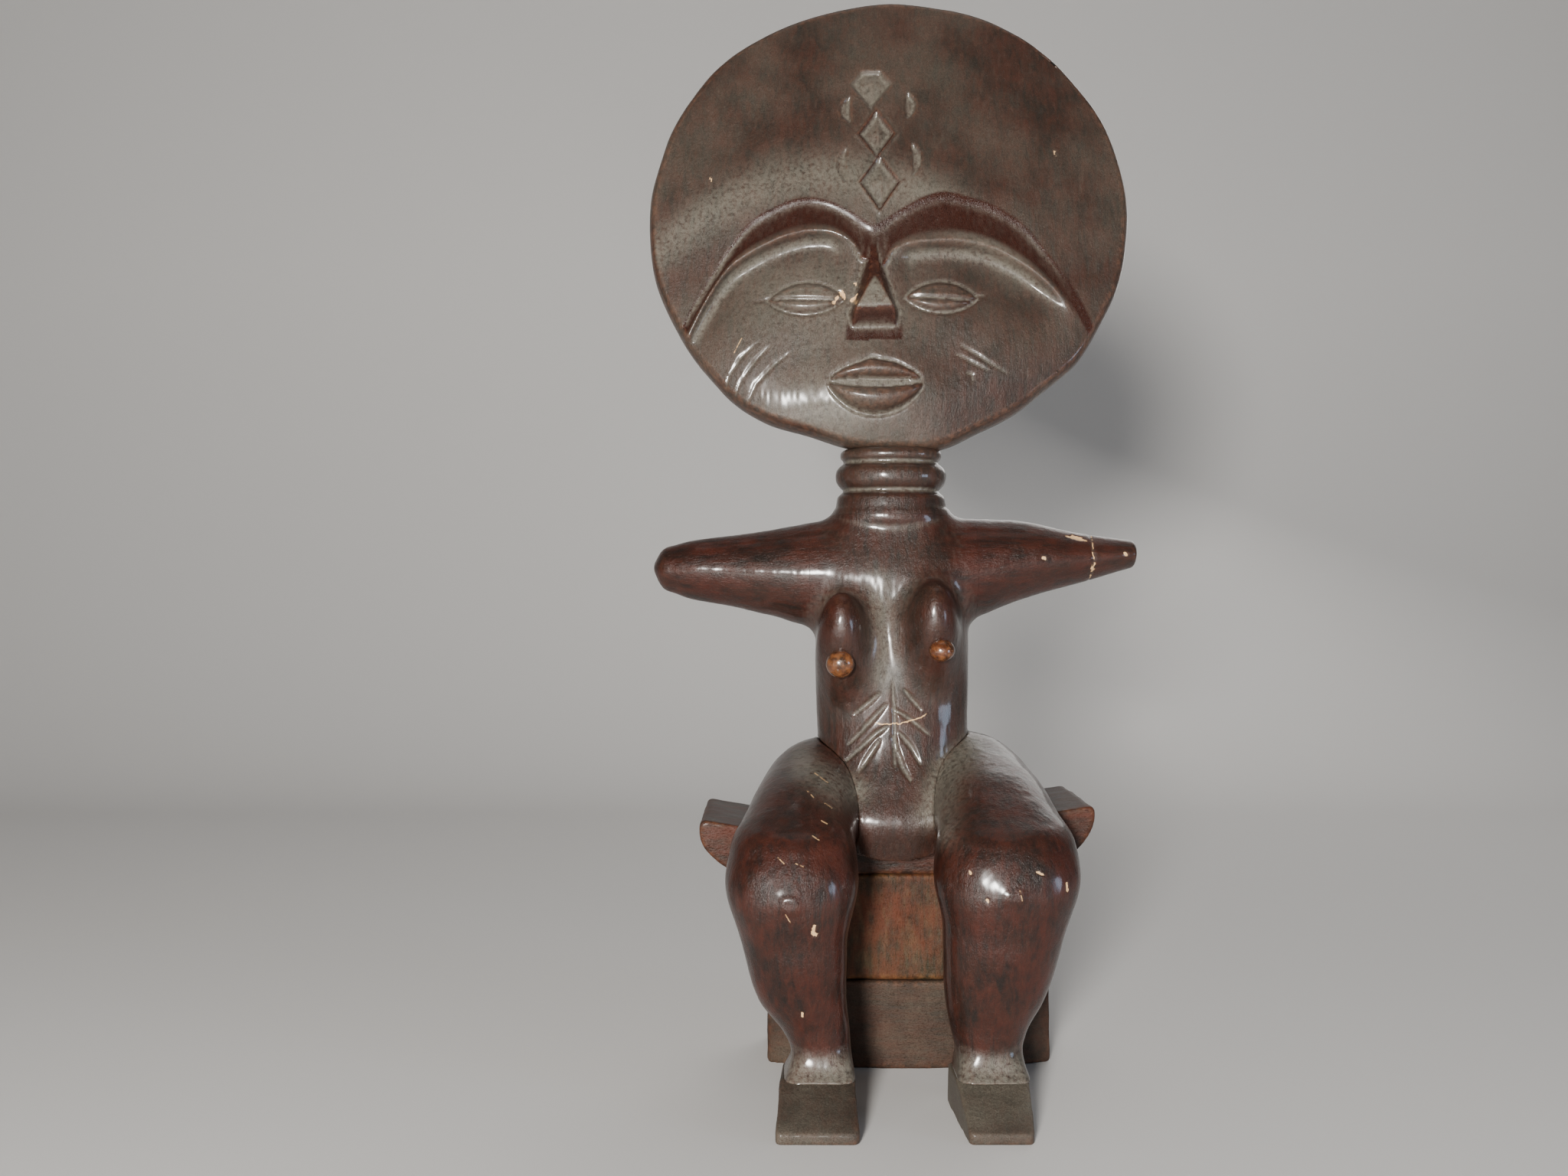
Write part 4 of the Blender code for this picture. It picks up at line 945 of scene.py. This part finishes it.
def wood(name, grain=(1.0, 1.0, 0.16), redness=0.5, film=0.2, gloss=0.38, coat=0.25, tint=None, line=None,
         arms=False):
    """Dark stained wood, waxed: grain along one axis, red-brown rubbed patches, a dusty film and pale chips;
    its marks also lay in painted shade, painted sheen and, on the knobs, a painted orange reflection.
    """
    n = Nodes(name)
    along, even = n.stretched(grain), n.stretched()
    broad = n.noise(even, 0.030, 3.0)
    cloud = n.noise(even, 0.10, 5.0, 0.62)
    grains = [(0.55, 7.0, 0.66, 0.35), (2.6, 5.0, 0.62), (6.5, 3.0, 0.6)]
    streak, fibre, pores = (n.noise(along, *values) for values in grains)
    fine = n.noise(even, 2.2, 5.0, 0.7)
    if arms:
        blend = shoulder_share(n)
        across = n.stretched(ARM_GRAIN)
        streak, fibre, pores = (n.level(blend, upright, n.noise(across, *values))
                                for upright, values in zip((streak, fibre, pores), grains))
        film = n.level(blend, film, 0.06)
        redness = n.level(blend, redness, 0.7)

    colour = n.mix(n.ramp(streak, 0.28, 0.74), DARK, BROWN)
    red = n.times(n.ramp(n.plus(n.times(cloud, 0.6), n.times(streak, 0.4)), 0.36, 0.66),
                 redness)
    shade_and_bare = n.mark("shade_and_bare")
    colour = n.mix(red, colour, RED)
    # painted shade: where the shade_and_bare mark is set, the wood is painted this darker brown and kept free
    # of film
    colour = n.mix(n.times(shade_and_bare, 0.7), colour, (0.026, 0.0080, 0.0052, 1))
    # the wear_and_reflection mark: rubbed red-brown edges, and the knobs' painted orange reflection
    wear_and_sheen = n.times(n.mark("wear_and_reflection"), n.ramp(n.noise(even, 0.6, 4.0), 0.35, 0.7))
    colour = n.mix(n.times(wear_and_sheen, 0.7), colour, (0.085, 0.032, 0.017, 1))
    pore = n.times(n.ramp(pores, 0.58, 0.72), 0.5)
    colour = n.mix(pore, colour, (0.007, 0.0045, 0.0038, 1))

    layer = n.times(n.plus(n.times(n.ramp(broad, 0.34, 0.66), 0.65), 0.35), film)
    layer = n.times(layer, n.plus(n.times(n.ramp(fine, 0.34, 0.66), 0.55), 0.62))
    layer = n.times(layer, n.minus(1.0, n.times(shade_and_bare, 0.9)))
    # the dust_and_sheen mark: dusty hollows and grooves, and painted sheen on the face, the nose tip and the
    # breastbone
    hollow = n.times(n.mark("dust_and_sheen"), n.ramp(n.noise(even, 0.8, 4.0, 0.65), 0.20, 0.62))
    colour = n.mix(layer, colour, DUST)
    hollow = n.times(hollow, 0.62)
    colour = n.mix(hollow, colour, PALE_DUST_AND_SHEEN)
    dust_and_sheen_cover = n.plus(layer, hollow, clamp=True)

    chip = n.ramp(n.mark("chip"), 0.35, 0.6)
    if line is not None:
        chip = n.math("MAXIMUM", chip, line(n))
    pale = n.mix(n.noise(even, 1.2, 3.0), (0.44, 0.235, 0.10, 1), (0.76, 0.52, 0.28, 1))
    colour = n.mix(chip, colour, pale)
    if tint is not None:
        colour = n.mix(1.0, colour, (*tint, 1), blend="MULTIPLY")
    n.tree.links.new(colour, n.shader.inputs["Base Color"])

    rough = n.plus(gloss, n.times(n.minus(cloud, 0.5), 0.24))
    rough = n.plus(rough, n.times(n.minus(fibre, 0.5), 0.22))
    rough = n.plus(rough, n.times(dust_and_sheen_cover, 0.16))
    rough = n.minus(rough, n.times(shade_and_bare, 0.12))
    rough = n.plus(rough, n.times(chip, 0.4), clamp=True)
    n.tree.links.new(rough, n.shader.inputs["Roughness"])

    height = n.plus(n.times(fibre, 0.55), n.times(streak, 0.6))
    height = n.minus(height, n.times(n.ramp(pores, 0.58, 0.72), 0.4))
    height = n.plus(height, n.times(n.noise(even, 0.55, 4.0, 0.6), 0.8))
    height = n.plus(height, n.times(fine, 0.25))
    bump = n.add("ShaderNodeBump", inputs={"Strength": 0.75, "Distance": 0.00034, "Height": height})
    n.tree.links.new(bump.outputs["Normal"], n.shader.inputs["Normal"])
    n.shader.inputs["IOR"].default_value = 1.5
    n.shader.inputs["Specular IOR Level"].default_value = 0.20
    n.shader.inputs["Coat Weight"].default_value = coat
    n.shader.inputs["Coat Roughness"].default_value = 0.16
    return n.material


def shoulder_share(n):
    """0 on the trunk and 1 on the shoulders, where the grain turns along the arms."""
    x, y, z = n.place()
    side = n.math("ABSOLUTE", n.minus(x, OFFSET[0] * 0.001))
    return n.times(n.ramp(side, 0.008, 0.0245), n.ramp(z, 0.128, 0.140))


def scratches(lines, width=0.00020):
    """Short pale scratches on the front, each from (X, Z) to (X, Z) in mm."""
    def made(n):
        x, y, z = n.place()
        flat = n.add("ShaderNodeCombineXYZ", inputs={0: x, 2: z}).outputs[0]
        total = None
        for (x0, z0), (x1, z1) in lines:
            start = ((x0 + OFFSET[0]) * 0.001, 0.0, z0 * 0.001)
            run = ((x1 - x0) * 0.001, 0.0, (z1 - z0) * 0.001)
            length = run[0] ** 2 + run[2] ** 2
            here = n.vector("SUBTRACT", flat, start)
            share = n.math("DIVIDE", n.vector("DOT_PRODUCT", here, run, 1), length, clamp=True)
            nearest = n.add("ShaderNodeVectorMath", operation="SCALE", inputs={0: run, 3: share}).outputs[0]
            away = n.vector("DISTANCE", here, nearest, 1)
            mark = n.ramp(away, width, width * 0.4)
            total = mark if total is None else n.math("MAXIMUM", total, mark)
        front = n.ramp(y, (2.0 + OFFSET[1]) * 0.001, OFFSET[1] * 0.001)
        broken = n.ramp(n.noise(n.stretched(), 0.9, 3.0), 0.40, 0.55)
        return n.times(n.times(total, front), n.times(broken, 0.6))
    return made


def tip_line(n):
    """The thin pale line of old glue round the mended arm."""
    wave = n.noise(n.stretched(), 0.30, 3.0)
    x = n.minus(n.place()[0], (TIP_X + OFFSET[0]) * 0.001)
    x = n.minus(x, n.times(n.minus(wave, 0.5), 0.0032))
    broken = n.ramp(n.noise(n.stretched(), 0.45, 2.0), 0.40, 0.50)
    return n.times(n.ramp(n.math("ABSOLUTE", x), 0.00026, 0.00010), broken)


def belly_line(n):
    """A thin pale scratch that curves across the belly."""
    x, y, z = n.place()
    bend = n.minus(x, -0.0022 + OFFSET[0] * 0.001)
    curve = n.plus((107.0 + OFFSET[2]) * 0.001, n.times(n.times(bend, bend), 22.0))
    wave = n.noise(n.stretched(), 0.7, 3.0)
    off = n.minus(n.minus(z, curve), n.times(n.minus(wave, 0.5), 0.0012))
    thin = n.ramp(n.math("ABSOLUTE", off), 0.00026, 0.00010)
    span = n.ramp(n.math("ABSOLUTE", n.minus(x, 0.0016)), 0.0080, 0.0070)
    front = n.ramp(y, (-12.0 + OFFSET[1]) * 0.001, (-13.0 + OFFSET[1]) * 0.001)
    return n.times(n.times(thin, span), front)


def dress(piece, node, material):
    piece.data.materials.clear()
    piece.data.materials.append(material)
    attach(piece, "root")
    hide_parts(node)


# --- stage ---
SENSOR = 36.0  # mm across
IMAGE_WIDTH = 2048
FOCAL_LENGTH = 2000  # in pixels of an image that wide
EYE = (-33.4, -477.0, 147.8)


def stage():
    """A pale floor that curves up into a backdrop, a camera and soft lights."""
    verts, faces = [], []
    profile = [(-2.2, 0.0), (0.55, 0.0)]
    profile += [(0.55 + 0.45 * math.sin(a), 0.45 - 0.45 * math.cos(a))
                for a in np.linspace(0.1, math.pi / 2, 16)]
    profile += [(1.0, 2.4)]
    for y, z in profile:
        verts += [(-2.6, y, z), (2.6, y, z)]
    for k in range(len(profile) - 1):
        faces.append((2 * k, 2 * k + 1, 2 * k + 3, 2 * k + 2))
    mesh = bpy.data.meshes.new("floor")
    mesh.from_pydata(verts, [], faces)
    mesh.shade_smooth()
    floor = bpy.data.objects.new("floor", mesh)
    bpy.context.collection.objects.link(floor)
    material = bpy.data.materials.new("floor_paper")
    material.use_nodes = True
    material.node_tree.nodes["Principled BSDF"].inputs["Base Color"].default_value = (0.68, 0.665, 0.65, 1)
    material.node_tree.nodes["Principled BSDF"].inputs["Roughness"].default_value = 0.9
    mesh.materials.append(material)

    eye = Vector((float(EYE[0] + OFFSET[0]), float(EYE[1] + OFFSET[1]), EYE[2])) * 0.001
    camera = bpy.data.objects.new("camera", bpy.data.cameras.new("camera"))
    camera.data.sensor_width = SENSOR
    camera.data.lens = SENSOR * FOCAL_LENGTH / IMAGE_WIDTH
    camera.data.clip_start = 0.01
    camera.location = eye
    camera.rotation_euler = (math.radians(90), 0, 0)
    bpy.context.collection.objects.link(camera)
    bpy.context.scene.camera = camera

    target = Vector((0.0, 0.0, 0.19))
    for name, place, size, power, colour in (
            ("key", (-0.20, -0.92, 0.22), 0.14, 20.0, (1.0, 0.97, 0.92)),
            ("front", (-0.06, -0.95, 0.10), 0.30, 1.2, (1.0, 0.97, 0.94)),
            ("cool", (0.75, -0.45, 0.12), 0.22, 1.5, (0.60, 0.76, 1.0)),
            ("top", (0.10, 0.10, 1.30), 0.90, 1.1, (1.0, 0.98, 0.95)),
            ("back", (0.35, 0.75, 0.60), 0.60, 1.8, (1.0, 0.98, 0.95))):
        light = bpy.data.objects.new(name, bpy.data.lights.new(name, "AREA"))
        light.data.shape = "DISK"
        light.data.size = size
        light.data.energy = power
        light.data.color = colour
        light.location = place
        light.rotation_euler = (target - Vector(place)).to_track_quat("-Z", "Y").to_euler()
        bpy.context.collection.objects.link(light)
    world = bpy.data.worlds.new("studio")
    bpy.context.scene.world = world
    world.use_nodes = True
    world.node_tree.nodes["Background"].inputs[0].default_value = (0.80, 0.83, 0.88, 1)
    world.node_tree.nodes["Background"].inputs[1].default_value = 0.10


def main():
    face = wood("face_wood", redness=0.4, film=0.34, gloss=0.36, coat=0.4, line=scratches(
        [((-54.6, 282.6), (-48.0, 285.4)), ((-46.0, 286.0), (-42.0, 287.2)), ((-62.4, 276.0), (-60.6, 277.0)),
         ((52.0, 283.0), (53.2, 279.0)), ((-46.4, 224.6), (-49.0, 219.6))], 0.00022))
    neck = wood("neck_wood", redness=0.4, film=0.2, gloss=0.32, coat=0.6)
    trunk = wood("torso_wood", redness=0.5, film=0.16, gloss=0.34, coat=0.5, line=belly_line, arms=True)
    arm = wood("arm_wood", grain=ARM_GRAIN, redness=0.7, film=0.06, gloss=0.34, coat=0.5, line=tip_line)
    legs = wood("leg_wood", redness=0.7, film=0.04, gloss=0.34, coat=0.5, line=scratches(
        [((-26.8, 89.8), (-25.0, 88.2)), ((-21.8, 86.6), (-19.8, 85.4)), ((-25.8, 80.0), (-23.8, 78.8)),
         ((-35.0, 74.6), (-33.4, 73.2)), ((-30.2, 73.2), (-28.2, 72.4)), ((-24.4, 93.6), (-20.6, 91.2)),
         ((-23.0, 83.0), (-21.4, 82.2)), ((30.0, 66.4), (30.6, 63.8)), ((-33.0, 60.0), (-31.6, 57.6))]))
    feet = wood("foot_wood", grain=(1.0, 0.16, 1.0), redness=0.3, film=0.85, gloss=0.45, coat=0.1)
    seat = wood("seat_wood", grain=ARM_GRAIN, redness=0.9, film=0.10, gloss=0.48, coat=0.05,
                tint=(1.2, 1.1, 0.9))
    column = wood("column_wood", redness=0.9, film=0.12, gloss=0.55, coat=0.0, tint=(1.6, 1.7, 1.1))
    base = wood("base_wood", grain=ARM_GRAIN, redness=0.45, film=0.4, gloss=0.58, coat=0.0,
                tint=(1.05, 0.95, 0.85))
    # painted reflection: this tint lifts the knobs to an orange-brown
    peg = wood("peg_wood", redness=0.5, film=0.04, gloss=0.2, coat=1.0, tint=(2.4, 2.3, 1.4))

    dress(make_head(), "head_disc", face)
    upper = make_upper()
    dress(upper["neck"], "neck", neck)
    dress(upper["torso"], "torso", trunk)
    for node in ("right_arm", "left_arm", "left_arm_tip"):
        dress(upper[node], node, arm)
    right, left = make_legs()
    dress(right, "right_leg", legs)
    dress(left, "left_leg", legs)
    for side, low_x, high_x, seed in (("right", (-33.6, -35.9), (-13.6, -13.4), 53),
                                      ("left", (13.6, 15.6), (36.0, 33.4), 59)):
        piece = make_foot(f"{side}_foot_carved", low_x, high_x, seed)
        dress(piece, f"{side}_foot", feet)
    for side, centre, half, seed in (("right", (-16.8, -26.2, 125.4), (4.2, 3.5, 4.2), 81),
                                     ("left", (13.1, -26.0, 129.4), (3.8, 3.4, 3.3), 83)):
        piece = make_peg(f"{side}_nipple_carved", centre, half, seed)
        dress(piece, f"{side}_nipple_peg", peg)
    dress(make_seat(), "stool_seat", seat)
    dress(make_column(), "stool_column", column)
    dress(make_base(), "stool_base", base)
    stage()


main()
